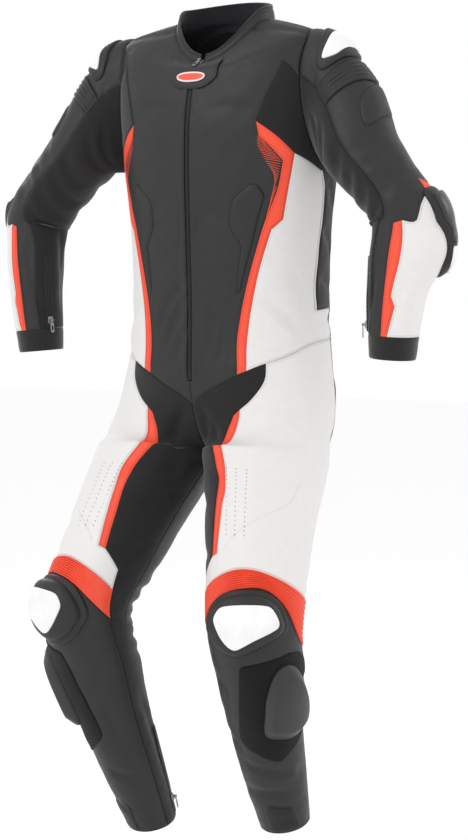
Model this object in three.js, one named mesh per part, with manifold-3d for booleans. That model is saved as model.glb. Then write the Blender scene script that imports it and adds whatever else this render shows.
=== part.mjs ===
// A motorcycle race suit in its worn pose: hollow walls of cut and sewn panels, all in millimetres.
// +Z is up, the suit faces -Y, its own left side is +X. The origin lies on the mid-plane between the
// shoulders, at the height where the shoulder seams carry the suit.
import * as THREE from 'three';
import { mergeVertices } from 'three/addons/utils/BufferGeometryUtils.js';
import Module from 'manifold-3d';

const wasm = await Module();
wasm.setup();

// Driving sizes of the cloth and of the hard pieces.
const LEATHER = 2.4;
const STRETCH = 2.0;
const SEAM_GAP = 0.3;
const STEP = 46;
const ZIP_HALF = 4.6;
const ZIP_TAPE_HALF = 4.3;
const ARMHOLE_STEPS = 24;
const LEFT = 1;
const RIGHT = -1;

// Colours of the finishes.
const FINISH = {
  blackLeather: new THREE.MeshStandardMaterial({ color: 0x2b2b2b, roughness: 0.5, metalness: 0 }),
  whiteLeather: new THREE.MeshStandardMaterial({ color: 0xece9e5, roughness: 0.5, metalness: 0 }),
  redLeather: new THREE.MeshStandardMaterial({ color: 0xf04a2c, roughness: 0.5, metalness: 0 }),
  stretch: new THREE.MeshStandardMaterial({ color: 0x1b191b, roughness: 0.9, metalness: 0 }),
  hardShell: new THREE.MeshStandardMaterial({ color: 0xf2f0ee, roughness: 0.3, metalness: 0 }),
  blackShell: new THREE.MeshStandardMaterial({ color: 0x1d1d1e, roughness: 0.4, metalness: 0 }),
  zipMetal: new THREE.MeshStandardMaterial({ color: 0x4a4a4c, roughness: 0.4, metalness: 0.8 }),
};

// Torso rings, half of each from front centre to back centre.
// height is at the side seam, drop and rise move the ring at the front and back centre.
const TORSO = table(['height', 'y', 'half', 'front', 'back', 'square', 'drop', 'rise'], [
  [6, -18, 84, 70, 70, 2.0, -70, 6],
  [-4, -22, 128, 76, 76, 2.0, -66, 2],
  [-16, -26, 168, 84, 82, 2.0, -60, 0],
  [-40, -20, 188, 96, 94, 2.1, -50, -2],
  [-80, -10, 192, 112, 106, 2.3, -32, -2],
  [-150, -2, 189, 128, 116, 2.4, -8, 0],
  [-230, 0, 182, 132, 118, 2.35, 0, 0],
  [-320, 0, 173, 129, 114, 2.25, 0, 0],
  [-430, 0, 170, 124, 112, 2.2, 0, 0],
  [-520, -4, 174, 120, 120, 2.2, 0, 0],
  [-600, -16, 188, 112, 128, 2.2, 0, 0],
  [-690, -40, 198, 104, 122, 2.2, 0, 0],
]);

// Leg rings from the hip to the ankle hem; tilt turns a ring about X, front edge up, in degrees.
const LEG = table(['height', 'x', 'y', 'half', 'front', 'back', 'tilt'], [
  [-520, 86, -10, 86, 106, 116, 0],
  [-600, 96, -26, 96, 102, 116, 2],
  [-690, 102, -58, 102, 98, 104, 12],
  [-780, 122, -108, 90, 88, 92, 24],
  [-870, 144, -152, 81, 80, 80, 22],
  [-950, 160, -182, 74, 76, 70, 4],
  [-1030, 156, -160, 70, 66, 70, -16],
  [-1120, 146, -128, 58, 58, 64, -20],
  [-1220, 137, -84, 50, 49, 52, -20],
  [-1310, 130, -42, 40, 40, 42, -20],
]);
const SPLIT_TOP = -545;
const CROTCH = -690;
const KNEE_HEIGHT = -950;
const HEM = -1310;
const NECK = 6;
// The left shin is bent back a little more, which shortens it from this height down.
const LEFT_SHIN_LIFT = 0.925;

// Sleeve rings by the distance along the arm; out is the outward direction of the elbow side.
const SLEEVE = table(['along', 'x', 'y', 'z', 'out', 'front', 'outX', 'outY', 'outZ'], [
  [135, 264, -46, -206, 60, 58, 0.8, 0.05, 0.5],
  [195, 312, -52, -258, 55, 56, 0.92, 0.1, 0.3],
  [260, 354, -54, -322, 52, 52, 0.98, 0.18, 0.05],
  [330, 350, -64, -388, 48, 48, 0.99, 0.15, 0],
  [400, 344, -68, -458, 43, 43, 0.99, 0.1, 0],
  [475, 338, -66, -532, 36, 38, 1, 0.05, 0],
]);
const CAP_END = 135;
const WRIST = 475;
const CUFF_TOP = 438;
// The directions in which the sleeve leaves the armhole, and how hard it meets the first ring.
const CAP_TOP = [190, -20, 30];
const CAP_MIDDLE = [110, -20, -40];
const CAP_LOW = [30, -10, -20];
const CAP_PULL = 1.15;
// Where each sleeve stands fuller on its outer side than its rings: middle and reach along the arm.
const FULLNESS = [
  { middle: 105, reach: 38, left: 20, right: 9 },
  { middle: 304, reach: 46, left: 24, right: 0 },
];

// The armhole on the torso: turn 0 is the shoulder point, 0.25 the front, 0.5 the armpit.
const ARMHOLE = table(['turn', 's', 'height'], [
  [0, 0.505, -16],
  [0.08, 0.4, -26],
  [0.16, 0.345, -60],
  [0.25, 0.345, -110],
  [0.35, 0.375, -165],
  [0.43, 0.43, -210],
  [0.5, 0.5, -232],
  [0.57, 0.57, -214],
  [0.65, 0.635, -170],
  [0.75, 0.66, -110],
  [0.84, 0.65, -60],
  [0.92, 0.595, -28],
]);

function table(columns, rows) {
  return Object.fromEntries(columns.map((name, i) => [name, rows.map(row => row[i])]));
}

function hermite(t, y0, m0, y1, m1) {
  const t2 = t * t;
  const t3 = t2 * t;
  return (2 * t3 - 3 * t2 + 1) * y0 + (t3 - 2 * t2 + t) * m0 + (3 * t2 - 2 * t3) * y1 + (t3 - t2) * m1;
}

// A smooth curve through a table's column that never overshoots its rows.
function column(rows, key, name) {
  const order = rows[key].map((_, i) => i).sort((i, j) => rows[key][i] - rows[key][j]);
  const xs = order.map(i => rows[key][i]);
  const ys = order.map(i => rows[name][i]);
  const last = xs.length - 1;
  const slope = i => (ys[i + 1] - ys[i]) / (xs[i + 1] - xs[i]);
  const tangents = xs.map((x, i) => {
    if (i === 0) return slope(0);
    if (i === last) return slope(last - 1);
    const before = slope(i - 1);
    const after = slope(i);
    if (before * after <= 0) return 0;
    const left = x - xs[i - 1];
    const right = xs[i + 1] - x;
    const mean = (before * right + after * left) / (left + right);
    return Math.sign(mean) * Math.min(Math.abs(mean), 3 * Math.min(Math.abs(before), Math.abs(after)));
  });
  return value => {
    const x = Math.min(Math.max(value, xs[0]), xs[last]);
    let i = 0;
    while (i < last - 1 && x >= xs[i + 1]) i += 1;
    const span = xs[i + 1] - xs[i];
    return hermite((x - xs[i]) / span, ys[i], tangents[i] * span, ys[i + 1], tangents[i + 1] * span);
  };
}

const columns = (rows, key) => Object.fromEntries(
  Object.keys(rows).filter(name => name !== key).map(name => [name, column(rows, key, name)]));
const torsoAt = columns(TORSO, 'height');
const legAt = columns(LEG, 'height');
const sleeveAt = columns(SLEEVE, 'along');

const vec = (x, y, z) => new THREE.Vector3(x, y, z);
const blend = (a, b, t) => a.clone().lerp(b, t);
const signedPower = (value, power) => Math.sign(value) * Math.abs(value) ** power;

// Half a superellipse: s runs from 0 at the front centre to 1 at the back centre.
function torsoPoint(s, height) {
  const cos = Math.cos(Math.PI * s);
  const power = 2 / torsoAt.square(height);
  const depth = cos > 0 ? torsoAt.front(height) : torsoAt.back(height);
  const shift = cos > 0 ? torsoAt.drop(height) : torsoAt.rise(height);
  return vec(torsoAt.half(height) * signedPower(Math.sin(Math.PI * s), power),
    torsoAt.y(height) - depth * signedPower(cos, power), height + shift * cos * cos);
}

// A whole tilted ellipse: s runs from the inseam round the front and the outside back to the inseam,
// which stays just clear of the mid-plane.
function legPoint(s, height) {
  const sin = Math.sin(2 * Math.PI * s);
  const depth = sin > 0 ? legAt.front(height) : legAt.back(height);
  const tilt = THREE.MathUtils.degToRad(legAt.tilt(height));
  const half = Math.min(legAt.half(height), legAt.x(height) - SEAM_GAP);
  return vec(legAt.x(height) - half * Math.cos(2 * Math.PI * s),
    legAt.y(height) - depth * sin * Math.cos(tilt), height + depth * sin * Math.sin(tilt));
}

// Torso and leg as one surface: between the two heights the torso half closes round into the leg.
function bodyPoint(s, height, side = LEFT) {
  const share = THREE.MathUtils.clamp((SPLIT_TOP - height) / (SPLIT_TOP - CROTCH), 0, 1);
  const leg = 1 - Math.cos(share * Math.PI / 2);
  const held = THREE.MathUtils.clamp(height, CROTCH, SPLIT_TOP);
  const dip = SPLIT_TOP - (SPLIT_TOP - CROTCH) * Math.sin(share * Math.PI / 2) - held;
  const point = leg < 1 ? blend(torsoPoint(s, height), legPoint(s, height), leg) : legPoint(s, height);
  point.z += dip * Math.cos(Math.PI * s) ** 2;
  if (side === LEFT && point.z < KNEE_HEIGHT) {
    point.z = KNEE_HEIGHT + (point.z - KNEE_HEIGHT) * LEFT_SHIN_LIFT;
  }
  point.x *= side;
  return point;
}

// The armhole's place on the torso at a turn, through the rows of its table as a closed loop.
function armholeAt(turn) {
  const { turn: turns, s, height } = ARMHOLE;
  const count = turns.length;
  const t = turn - Math.floor(turn);
  let i = count - 1;
  while (i > 0 && t < turns[i]) i -= 1;
  const at = (values, k, wrap) => values[(k + count) % count] + wrap * Math.floor(k / count);
  const span = at(turns, i + 1, 1) - at(turns, i, 1);
  const value = values => {
    const tangent = k => (at(values, k + 1, 0) - at(values, k - 1, 0)) / (at(turns, k + 1, 1) - at(turns, k - 1, 1));
    return hermite((t - turns[i]) / span, at(values, i, 0), tangent(i) * span, at(values, i + 1, 0), tangent(i + 1) * span);
  };
  return [value(s), value(height)];
}

function sleeveRing(turn, along) {
  const centre = at => vec(sleeveAt.x(at), sleeveAt.y(at), sleeveAt.z(at));
  const axis = centre(along + 1).sub(centre(along - 1)).normalize();
  const out = vec(sleeveAt.outX(along), sleeveAt.outY(along), sleeveAt.outZ(along));
  out.addScaledVector(axis, -out.dot(axis)).normalize();
  const front = out.clone().cross(axis).normalize();
  if (front.y > 0) front.negate();
  const angle = 2 * Math.PI * turn;
  const point = centre(along).addScaledVector(out, sleeveAt.out(along) * Math.cos(angle))
    .addScaledVector(front, sleeveAt.front(along) * Math.sin(angle));
  return { point, axis, out };
}

function fullness(along, side) {
  const height = row => (side === LEFT ? row.left : row.right);
  return FULLNESS.reduce((sum, row) => sum + height(row) * Math.exp(-(((along - row.middle) / row.reach) ** 2)), 0);
}

// The sleeve: turn 0 is its top and outer side, 0.25 the front, 0.5 the inner side, 0.75 the back.
function sleevePoint(turn, along, side = LEFT) {
  const { point, out } = sleeveRing(turn, Math.max(along, CAP_END));
  const cos = Math.cos(2 * Math.PI * turn);
  if (along < CAP_END) {
    const start = bodyPoint(...armholeAt(turn), RIGHT);
    start.x *= RIGHT;
    const end = sleeveRing(turn, CAP_END);
    const leave = blend(vec(...CAP_MIDDLE), vec(...(cos > 0 ? CAP_TOP : CAP_LOW)), Math.abs(cos));
    const arrive = end.axis.multiplyScalar(start.distanceTo(end.point) * CAP_PULL);
    for (const k of ['x', 'y', 'z']) {
      point[k] = hermite(along / CAP_END, start[k], leave[k], end.point[k], arrive[k]);
    }
  }
  point.addScaledVector(out, fullness(along, side) * Math.max(cos, 0));
  point.x *= side;
  return point;
}

// A chart is a surface with its outward normal, and its rough width in millimetres for one unit across.
function chart(place, width, lowest, highest) {
  const nudge = 0.002;
  return {
    place, width,
    normal(a, b, side) {
      const b0 = Math.max(b - width * nudge, lowest);
      const b1 = Math.min(b + width * nudge, highest);
      const across = place(a + nudge, b, side).sub(place(a - nudge, b, side));
      return across.cross(place(a, b1, side).sub(place(a, b0, side))).multiplyScalar(side).normalize();
    },
  };
}
const BODY = chart(bodyPoint, 450, HEM, NECK);
const ARM = chart(sleevePoint, 330, 0, WRIST);

// Pattern points are [across, along]; a third entry names a shared edge or a corner.
const CORNER = 'corner';
const NECK_EDGE = 'neck';
const zipEdge = height => [Math.asin((ZIP_HALF / torsoAt.half(height)) ** (torsoAt.square(height) / 2)) / Math.PI, height];

// A seam through its points, smooth but for its corners, in spans of about the step given.
function seam(points, width = BODY.width, step = STEP) {
  const result = [];
  const tangent = i => {
    if (i === 0 || i === points.length - 1 || points[i][2] === CORNER) return null;
    return [0, 1].map(k => (points[i + 1][k] - points[i - 1][k]) / 2);
  };
  for (let i = 0; i < points.length - 1; i += 1) {
    const [p, q] = [points[i], points[i + 1]];
    const length = Math.hypot((q[0] - p[0]) * width, q[1] - p[1]);
    const spans = Math.max(1, Math.round(length / step));
    const chord = [q[0] - p[0], q[1] - p[1]];
    const m0 = tangent(i) ?? chord;
    const m1 = tangent(i + 1) ?? chord;
    const limit = m => {
      const size = Math.hypot(m[0] * width, m[1]);
      return m.map(value => value * Math.min(1, length / Math.max(size, 1e-6)));
    };
    const [t0, t1] = [limit(m0), limit(m1)];
    for (let k = 0; k < spans; k += 1) {
      result.push([0, 1].map(c => hermite(k / spans, p[c], t0[c], q[c], t1[c])));
    }
    if (p[2]) result[result.length - spans][2] = p[2];
  }
  result.push(points[points.length - 1]);
  return result;
}

const armholeTurns = (from, to) => {
  const count = Math.round(Math.abs(to - from) * ARMHOLE_STEPS);
  return Array.from({ length: count + 1 }, (_, i) => from + (to - from) * i / count);
};
const armholeOnBody = (from, to) => armholeTurns(from, to).map(turn => [...armholeAt(turn), turn]);
const armholeOnSleeve = (from, to) => armholeTurns(from, to).map(turn => [turn, 0, turn]);

// Where the armhole's seams cross it, as turns.
const TURN_FRONT = 5 / 24;
const TURN_SIDE = 14 / 24;
const TURN_BACK = 18 / 24;

// Junctions of the body's seams.
const BACK_SEAM = 0.6;
const J = {
  neckZip: zipEdge(NECK),
  neckShoulder: [0.5, NECK],
  stripeTop: [0.19, -158],
  whiteTop: [0.34, -212],
  whiteRear: [0.472, -238],
  meshCorner: [0.468, -460],
  meshRear: [BACK_SEAM, -456],
  hipRear: [BACK_SEAM, -505],
  zipEnd: zipEdge(-562),
  zipFoot: [0, -563],
  frontEnd: [0, -588],
  stripeIn: [0.142, -556],
  stripeOut: [0.172, -552],
  hipFront: [0.24, -543],
  thighStripeOut: [0.16, -597],
  thighStripeIn: [0.142, -604],
  thighStripeEndIn: [0.165, -865],
  thighStripeEndOut: [0.19, -862],
  kneeTopIn: [0.085, -914],
  kneeTopOut: [BACK_SEAM, -900],
  kneeLowIn: [0.068, -952],
  kneeLowOut: [BACK_SEAM, -990],
  crotch: [0, CROTCH],
  kneeIn: [0, -962],
  hemIn: [0.045, HEM],
  hemOut: [BACK_SEAM, HEM],
};
const KNEE_COLUMNS = 10;
const KNEE_TOP = [J.kneeTopIn, [0.165, -898], [0.265, -883], [0.33, -880], [0.41, -884], [0.52, -893], J.kneeTopOut];
const KNEE_LOW = [J.kneeLowIn, [0.13, -934], [0.208, -915], [0.28, -905], [0.37, -901], [0.45, -920], [0.53, -962],
  J.kneeLowOut];

// Evenly spread points along a smooth seam, the same number on both of its sides.
function evenly(points, count, width = BODY.width) {
  const fine = seam(points, width, 4);
  const lengths = [0];
  for (let i = 1; i < fine.length; i += 1) {
    lengths.push(lengths[i - 1] + Math.hypot((fine[i][0] - fine[i - 1][0]) * width, fine[i][1] - fine[i - 1][1]));
  }
  return Array.from({ length: count + 1 }, (_, k) => {
    const want = lengths[lengths.length - 1] * k / count;
    let i = 1;
    while (i < fine.length - 1 && lengths[i] < want) i += 1;
    const t = (want - lengths[i - 1]) / (lengths[i] - lengths[i - 1]);
    return [0, 1].map(c => fine[i - 1][c] + (fine[i][c] - fine[i - 1][c]) * t);
  });
}

const neckEdge = (from, to, count) => Array.from({ length: count + 1 }, (_, i) =>
  [from + (to - from) * i / count, NECK, NECK_EDGE]);
const NECK_FRONT_STEPS = 6;
const NECK_BACK_STEPS = 6;
const hemEdge = (from, to) => seam([[from, HEM], [to, HEM]], 280, 24);

// The body's seams, each cut once and used by the panels on both of its sides.
const S = {
  neckFront: neckEdge(J.neckZip[0], J.neckShoulder[0], NECK_FRONT_STEPS),
  neckBack: neckEdge(J.neckShoulder[0], 1, NECK_BACK_STEPS),
  shoulder: [[J.neckShoulder[0], NECK, NECK_EDGE], [0.5, -4], [...armholeAt(0), 0]],
  zip: seam([J.neckZip, ...[-60, -130, -200, -280, -360, -440, -520].map(zipEdge), J.zipEnd]),
  frontYoke: seam([[0.28, -48], [...armholeAt(TURN_FRONT)]]),
  frontEdge: seam([[0.28, -48, CORNER], [0.222, -104], J.stripeTop]),
  stripeInner: seam([J.stripeTop, [0.203, -184, CORNER], [0.295, -224, CORNER], [0.282, -268], [0.242, -320],
    [0.215, -362], [0.185, -412], [0.163, -456], [0.145, -510], J.stripeIn]),
  stripeOuter: seam([J.whiteTop, [0.326, -260], [0.31, -316, CORNER], [0.267, -332, CORNER], [0.225, -394],
    [0.195, -456], [0.178, -510], J.stripeOut]),
  stripeTop: seam([J.stripeTop, [0.265, -184], J.whiteTop]),
  whiteTop: seam([J.whiteTop, [0.417, -226], J.whiteRear]),
  meshFront: seam([J.whiteRear, [0.49, -262], [0.496, -300], [0.48, -366], [0.463, -418], J.meshCorner]),
  meshLow: seam([J.meshCorner, J.meshRear]),
  backUpper: seam([[...armholeAt(TURN_SIDE)], [0.605, -270], [0.605, -340], [0.6, -400], J.meshRear]),
  backLower: seam([J.meshRear, J.hipRear]),
  hip: seam([J.hipFront, [0.33, -530], [0.448, -512], J.hipRear]),
  waistBack: seam([J.hipRear, [0.8, -496], [1, -492]]),
  frontFoot: [J.zipEnd, J.zipFoot, J.frontEnd],
  frontLow: seam([J.frontEnd, [0.03, -577], J.stripeIn]),
  stripeLow: seam([J.stripeIn, J.stripeOut]),
  whiteLow: seam([J.stripeOut, J.hipFront]),
  centreFront: seam([J.frontEnd, [0, -622], [0, -656], J.crotch]),
  centreBack: seam([[1, -492], [1, -540], [1, -590], [1, -640], [1, CROTCH]]),
  crotchEdge: seam([J.hipFront, [0.233, -564], [0.195, -585], J.thighStripeOut]),
  thighStripeTop: [J.thighStripeOut, J.thighStripeIn],
  thighStripeInner: seam([J.thighStripeIn, [0.137, -626], [0.155, -665], [0.185, -710], [0.195, -760], [0.18, -815],
    J.thighStripeEndIn]),
  thighStripeOuter: seam([J.thighStripeOut, [0.175, -636], [0.205, -680], [0.226, -740], [0.212, -800],
    J.thighStripeEndOut]),
  thighStripeEnd: [J.thighStripeEndIn, J.thighStripeEndOut],
  whiteTongue: seam([J.thighStripeEndIn, [0.098, -888, CORNER], J.kneeTopIn]),
  kneeTop: evenly(KNEE_TOP, KNEE_COLUMNS),
  kneeLow: evenly(KNEE_LOW, KNEE_COLUMNS),
  kneeInner: seam([J.kneeTopIn, J.kneeLowIn], BODY.width, 20),
  kneeOuter: seam([J.kneeTopOut, J.kneeLowOut], BODY.width, 30),
  thighRear: seam([J.hipRear, [BACK_SEAM, -600], [BACK_SEAM, -700], [BACK_SEAM, -800], J.kneeTopOut]),
  inseamThigh: seam([J.crotch, [0, -780], [0, -870], J.kneeIn]),
  kneeCalfIn: seam([J.kneeLowIn, J.kneeIn]),
  kneePit: seam([[1, -962], [0.8, -980], J.kneeLowOut]),
  shinIn: seam([J.kneeLowIn, [0.055, -1010], [0.05, -1100], [0.047, -1200], J.hemIn]),
  shinOut: seam([J.kneeLowOut, [BACK_SEAM, -1100], [BACK_SEAM, -1200], J.hemOut]),
  hemShin: hemEdge(J.hemIn[0], J.hemOut[0]),
  hemCalf: hemEdge(J.hemOut[0], 1 + J.hemIn[0]),
};

// Moves a seam by whole turns of the leg, so that a panel may run across the inseam.
const turned = (points, turns) => points.map(([a, b]) => [a + turns, b]);

// Junctions and seams of the sleeve.
const A = {
  ribFront: [0.215, 46],
  ribFrontLow: [0.224, 74],
  ribBack: [-0.25, 46],
  ribBackLow: [-0.25, 74],
  elbowBack: [-0.25, 236],
  stripeTopIn: [0.258, 268],
  stripeTopOut: [0.222, 262],
  stripeLowIn: [0.268, CUFF_TOP],
  stripeLowOut: [0.225, CUFF_TOP],
  cuffFront: [0.37, CUFF_TOP],
  cuffBack: [-0.25, CUFF_TOP],
};
const RIB_COLUMNS = 8;
const RIB_TOP = [A.ribFront, [0.11, 64], [0, 76], [-0.12, 66], A.ribBack];
const RIB_LOW = [A.ribFrontLow, [0.11, 90], [0, 101], [-0.12, 92], A.ribBackLow];
const armSeam = (points, step = STEP) => seam(points, ARM.width, step);
const T = {
  capFront: armSeam([[TURN_FRONT, 0, TURN_FRONT], A.ribFront]),
  capBack: armSeam([[-0.25, 0, -0.25], A.ribBack]),
  ribTop: evenly(RIB_TOP, RIB_COLUMNS, ARM.width),
  ribLow: evenly(RIB_LOW, RIB_COLUMNS, ARM.width),
  ribFront: [A.ribFront, A.ribFrontLow],
  ribBack: [A.ribBack, A.ribBackLow],
  leatherFront: armSeam([A.ribFrontLow, [0.24, 120], [0.256, 165], [0.252, 208], [0.285, 236], [0.34, 266],
    [0.372, 310], [0.366, 375], A.cuffFront]),
  upperBack: armSeam([A.ribBackLow, [-0.25, 130], [-0.25, 185], A.elbowBack]),
  elbow: armSeam([A.stripeTopOut, [0.175, 264], [0.13, 250], [0.06, 240], [-0.02, 230], [-0.14, 230], A.elbowBack]),
  stripeTop: [A.stripeTopIn, A.stripeTopOut],
  stripeInner: armSeam([A.stripeTopIn, [0.262, 320], [0.266, 380], A.stripeLowIn]),
  stripeOuter: armSeam([A.stripeTopOut, [0.214, 330], [0.222, 378, CORNER], [0.195, 392, CORNER], A.stripeLowOut]),
  whiteBack: armSeam([A.elbowBack, [-0.25, 300], [-0.25, 370], A.cuffBack]),
  cuffWhite: armSeam([A.stripeLowOut, [0.1, CUFF_TOP], [-0.02, CUFF_TOP], [-0.14, CUFF_TOP], A.cuffBack], 30),
  cuffStripe: [A.stripeLowIn, A.stripeLowOut],
  cuffLeather: armSeam([A.cuffFront, A.stripeLowIn], 30),
  cuffStretch: armSeam([A.cuffFront, [0.5, CUFF_TOP], [0.62, CUFF_TOP], [0.75, CUFF_TOP]], 30),
};

// Joins seams end to end into one closed loop, turning each as needed.
function loopOf(...seams) {
  const same = (p, q) => Math.hypot(p[0] - q[0], (p[1] - q[1]) / 400) < 1e-6;
  const loop = [...seams[0]];
  if (!seams[1].some((p, i) => (i === 0 || i === seams[1].length - 1) && same(p, loop[loop.length - 1]))) loop.reverse();
  for (const next of seams.slice(1)) {
    const end = loop[loop.length - 1];
    const part = same(next[0], end) ? next : [...next].reverse();
    if (!same(part[0], end)) throw new Error(`seams do not meet at ${end} and ${part[0]}`);
    if (part[0][2] !== undefined) loop[loop.length - 1] = part[0];
    loop.push(...part.slice(1));
  }
  const last = loop.pop();
  if (!same(last, loop[0])) throw new Error(`loop is open at ${last} and ${loop[0]}`);
  if (last[2] !== undefined) loop[0] = last;
  return loop;
}

// Delaunay triangles of flat points, by adding one point at a time.
function delaunay(points) {
  const far = 1e5;
  const all = [...points, [-far, -far], [far, -far], [0, far]];
  const count = points.length;
  const circle = triangle => {
    const [a, b, c] = triangle.map(i => all[i]);
    const [bx, by, cx, cy] = [b[0] - a[0], b[1] - a[1], c[0] - a[0], c[1] - a[1]];
    const d = 2 * (bx * cy - by * cx);
    const [b2, c2] = [bx * bx + by * by, cx * cx + cy * cy];
    const centre = [(cy * b2 - by * c2) / d, (bx * c2 - cx * b2) / d];
    return { triangle, x: a[0] + centre[0], y: a[1] + centre[1], r2: centre[0] ** 2 + centre[1] ** 2 };
  };
  let circles = [circle([count, count + 1, count + 2])];
  points.forEach((p, index) => {
    const edges = new Map();
    circles = circles.filter(c => {
      if ((p[0] - c.x) ** 2 + (p[1] - c.y) ** 2 > c.r2 * (1 + 1e-12)) return true;
      c.triangle.forEach((a, k) => {
        const b = c.triangle[(k + 1) % 3];
        const back = `${b}_${a}`;
        if (edges.has(back)) edges.delete(back);
        else edges.set(`${a}_${b}`, [a, b]);
      });
      return false;
    });
    for (const [a, b] of edges.values()) circles.push(circle([a, b, index]));
  });
  return circles.map(c => c.triangle).filter(t => t.every(i => i < count));
}

function inside([x, y], loop) {
  let within = false;
  loop.forEach(([x1, y1], i) => {
    const [x2, y2] = loop[(i + 1) % loop.length];
    if ((y1 > y) !== (y2 > y) && x < x1 + (y - y1) / (y2 - y1) * (x2 - x1)) within = !within;
  });
  return within;
}

// Cuts a panel's cloth: its loop, the outlines of what lies on it, and a loose grid of points inside.
function cutPanel(surface, loop, outlines = [], step = STEP) {
  const flat = ([a, b]) => [a * surface.width, b];
  const border = loop.map(flat);
  const points = [...loop, ...outlines.flat()];
  const xs = border.map(p => p[0]);
  const ys = border.map(p => p[1]);
  const fixed = points.map(flat);
  const rowHeight = step * Math.sqrt(3) / 2;
  for (let row = 0; row * rowHeight < Math.max(...ys) - Math.min(...ys); row += 1) {
    for (let x = Math.min(...xs) + (row % 2) * step / 2; x < Math.max(...xs); x += step) {
      const p = [x, Math.min(...ys) + row * rowHeight];
      const clear = fixed.every(q => Math.hypot(p[0] - q[0], p[1] - q[1]) > step * 0.62);
      if (clear && inside(p, border)) points.push([p[0] / surface.width, p[1]]);
    }
  }
  const jitter = i => 0.01 * Math.sin(i * 12.9898);
  const spots = points.map(flat).map((p, i) => (i < loop.length ? p : [p[0] + jitter(i), p[1] + jitter(i + 7)]));
  const triangles = delaunay(spots).map(t => counterClockwise(t, spots))
    .filter(t => inside([0, 1].map(k => (spots[t[0]][k] + spots[t[1]][k] + spots[t[2]][k]) / 3), border))
    .filter(t => triangleArea(t, spots) > 0.05);
  return { surface, points, triangles };
}

function triangleArea([a, b, c], spots) {
  return ((spots[b][0] - spots[a][0]) * (spots[c][1] - spots[a][1])
    - (spots[b][1] - spots[a][1]) * (spots[c][0] - spots[a][0])) / 2;
}

const counterClockwise = (t, spots) => (triangleArea(t, spots) > 0 ? t : [t[0], t[2], t[1]]);

// The outward direction at a pattern point; where two surfaces meet they share one direction.
function normalAt(surface, point, side) {
  const [a, b, shared] = point;
  if (surface === BACK) {
    const [s, half] = halfOf(a);
    return normalAt(BODY, [s, b, shared], half);
  }
  if (shared === NECK_EDGE) return neckNormal(a, side);
  if (typeof shared === 'number') {
    const [s, height] = armholeAt(shared);
    return BODY.normal(s, height, side).add(ARM.normal(shared, 0, side)).normalize();
  }
  return surface.normal(a, b, side);
}

function neckNormal(s, side) {
  const out = BODY.place(s, NECK, side).sub(vec(0, torsoAt.y(NECK), 0)).setZ(0).normalize();
  return out.add(BODY.normal(s, NECK - 2, side)).normalize();
}

// Edges used by one triangle only, in that triangle's direction.
function borderEdges(triangles) {
  const edges = new Map();
  for (const t of triangles) {
    t.forEach((a, k) => {
      const b = t[(k + 1) % 3];
      if (edges.has(`${b}_${a}`)) edges.delete(`${b}_${a}`);
      else edges.set(`${a}_${b}`, [a, b]);
    });
  }
  return [...edges.values()];
}

// The step away from the panel's border that leaves half of the seam's gap on each side of it.
function borderInsets(places, normals, edges, gap) {
  const insets = places.map(() => vec(0, 0, 0));
  const inward = ([a, b]) => normals[a].clone().add(normals[b])
    .cross(places[b].clone().sub(places[a])).normalize();
  const before = new Map(edges.map(edge => [edge[1], inward(edge)]));
  for (const edge of edges) {
    const here = inward(edge);
    const last = before.get(edge[0]) ?? here;
    const sum = here.clone().add(last);
    insets[edge[0]] = sum.multiplyScalar(gap / 2 / Math.max(1 + here.dot(last), 0.35));
  }
  return insets;
}

// Closes two sheets of the same triangles into a solid; lift and depth are distances along the normals.
function solidOf(pattern, side, lift, depth, gap = SEAM_GAP) {
  const { surface, points } = pattern;
  const triangles = side === LEFT ? pattern.triangles : pattern.triangles.map(([a, b, c]) => [a, c, b]);
  const places = points.map(([a, b]) => surface.place(a, b, side));
  const normals = points.map(point => normalAt(surface, point, side));
  const edges = borderEdges(triangles);
  const insets = borderInsets(places, normals, edges, gap);
  const outer = places.map((p, i) => p.clone().add(insets[i]).addScaledVector(normals[i], lift(i)));
  const inner = places.map((p, i) => p.clone().add(insets[i]).addScaledVector(normals[i], depth(i)));
  const count = points.length;
  // Neighbours along a seam split its rim the same way, and so do the two sides of the suit.
  const rank = i => places[i].z * 3 + places[i].y * 2 + Math.abs(places[i].x);
  const faces = [...triangles, ...triangles.map(([a, b, c]) => [c + count, b + count, a + count])];
  for (const [a, b] of edges) {
    if (rank(a) < rank(b)) faces.push([b, a, a + count], [b, a + count, b + count]);
    else faces.push([b, a, b + count], [a, a + count, b + count]);
  }
  return geometryOf([...outer, ...inner], faces);
}

function geometryOf(vertices, faces) {
  const positions = new Float32Array(vertices.length * 3);
  vertices.forEach((p, i) => p.toArray(positions, i * 3));
  const geometry = new THREE.BufferGeometry();
  geometry.setAttribute('position', new THREE.BufferAttribute(positions, 3));
  geometry.setIndex(faces.flat());
  geometry.computeVertexNormals();
  return geometry;
}

// Adds to a panel only the triangles that lie under an outline, for the piece sewn or set on it.
function underOutline(pattern, outline) {
  const width = pattern.surface.width;
  const border = outline.map(([a, b]) => [a * width, b]);
  const middle = t => [0, 1].map(k => t.reduce((sum, i) => sum + pattern.points[i][k], 0) / 3);
  const triangles = pattern.triangles.filter(t => {
    const [a, b] = middle(t);
    return inside([a * width, b], border);
  });
  return { ...pattern, triangles };
}

// Keeps only the points that the triangles use, so that a piece has no loose ones.
function compact(pattern) {
  const used = [...new Set(pattern.triangles.flat())].sort((i, j) => i - j);
  const place = new Map(used.map((old, fresh) => [old, fresh]));
  return {
    ...pattern,
    points: used.map(i => pattern.points[i]),
    triangles: pattern.triangles.map(t => t.map(i => place.get(i))),
  };
}

// A raised piece over an outline: its underside is the panel's own points moved out.
function raised(pattern, outline, side, base, height) {
  const piece = compact(underOutline(pattern, outline));
  const tops = piece.points.map(point => base + height(point));
  return solidOf(piece, side, i => tops[i], () => base, 0);
}

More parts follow.
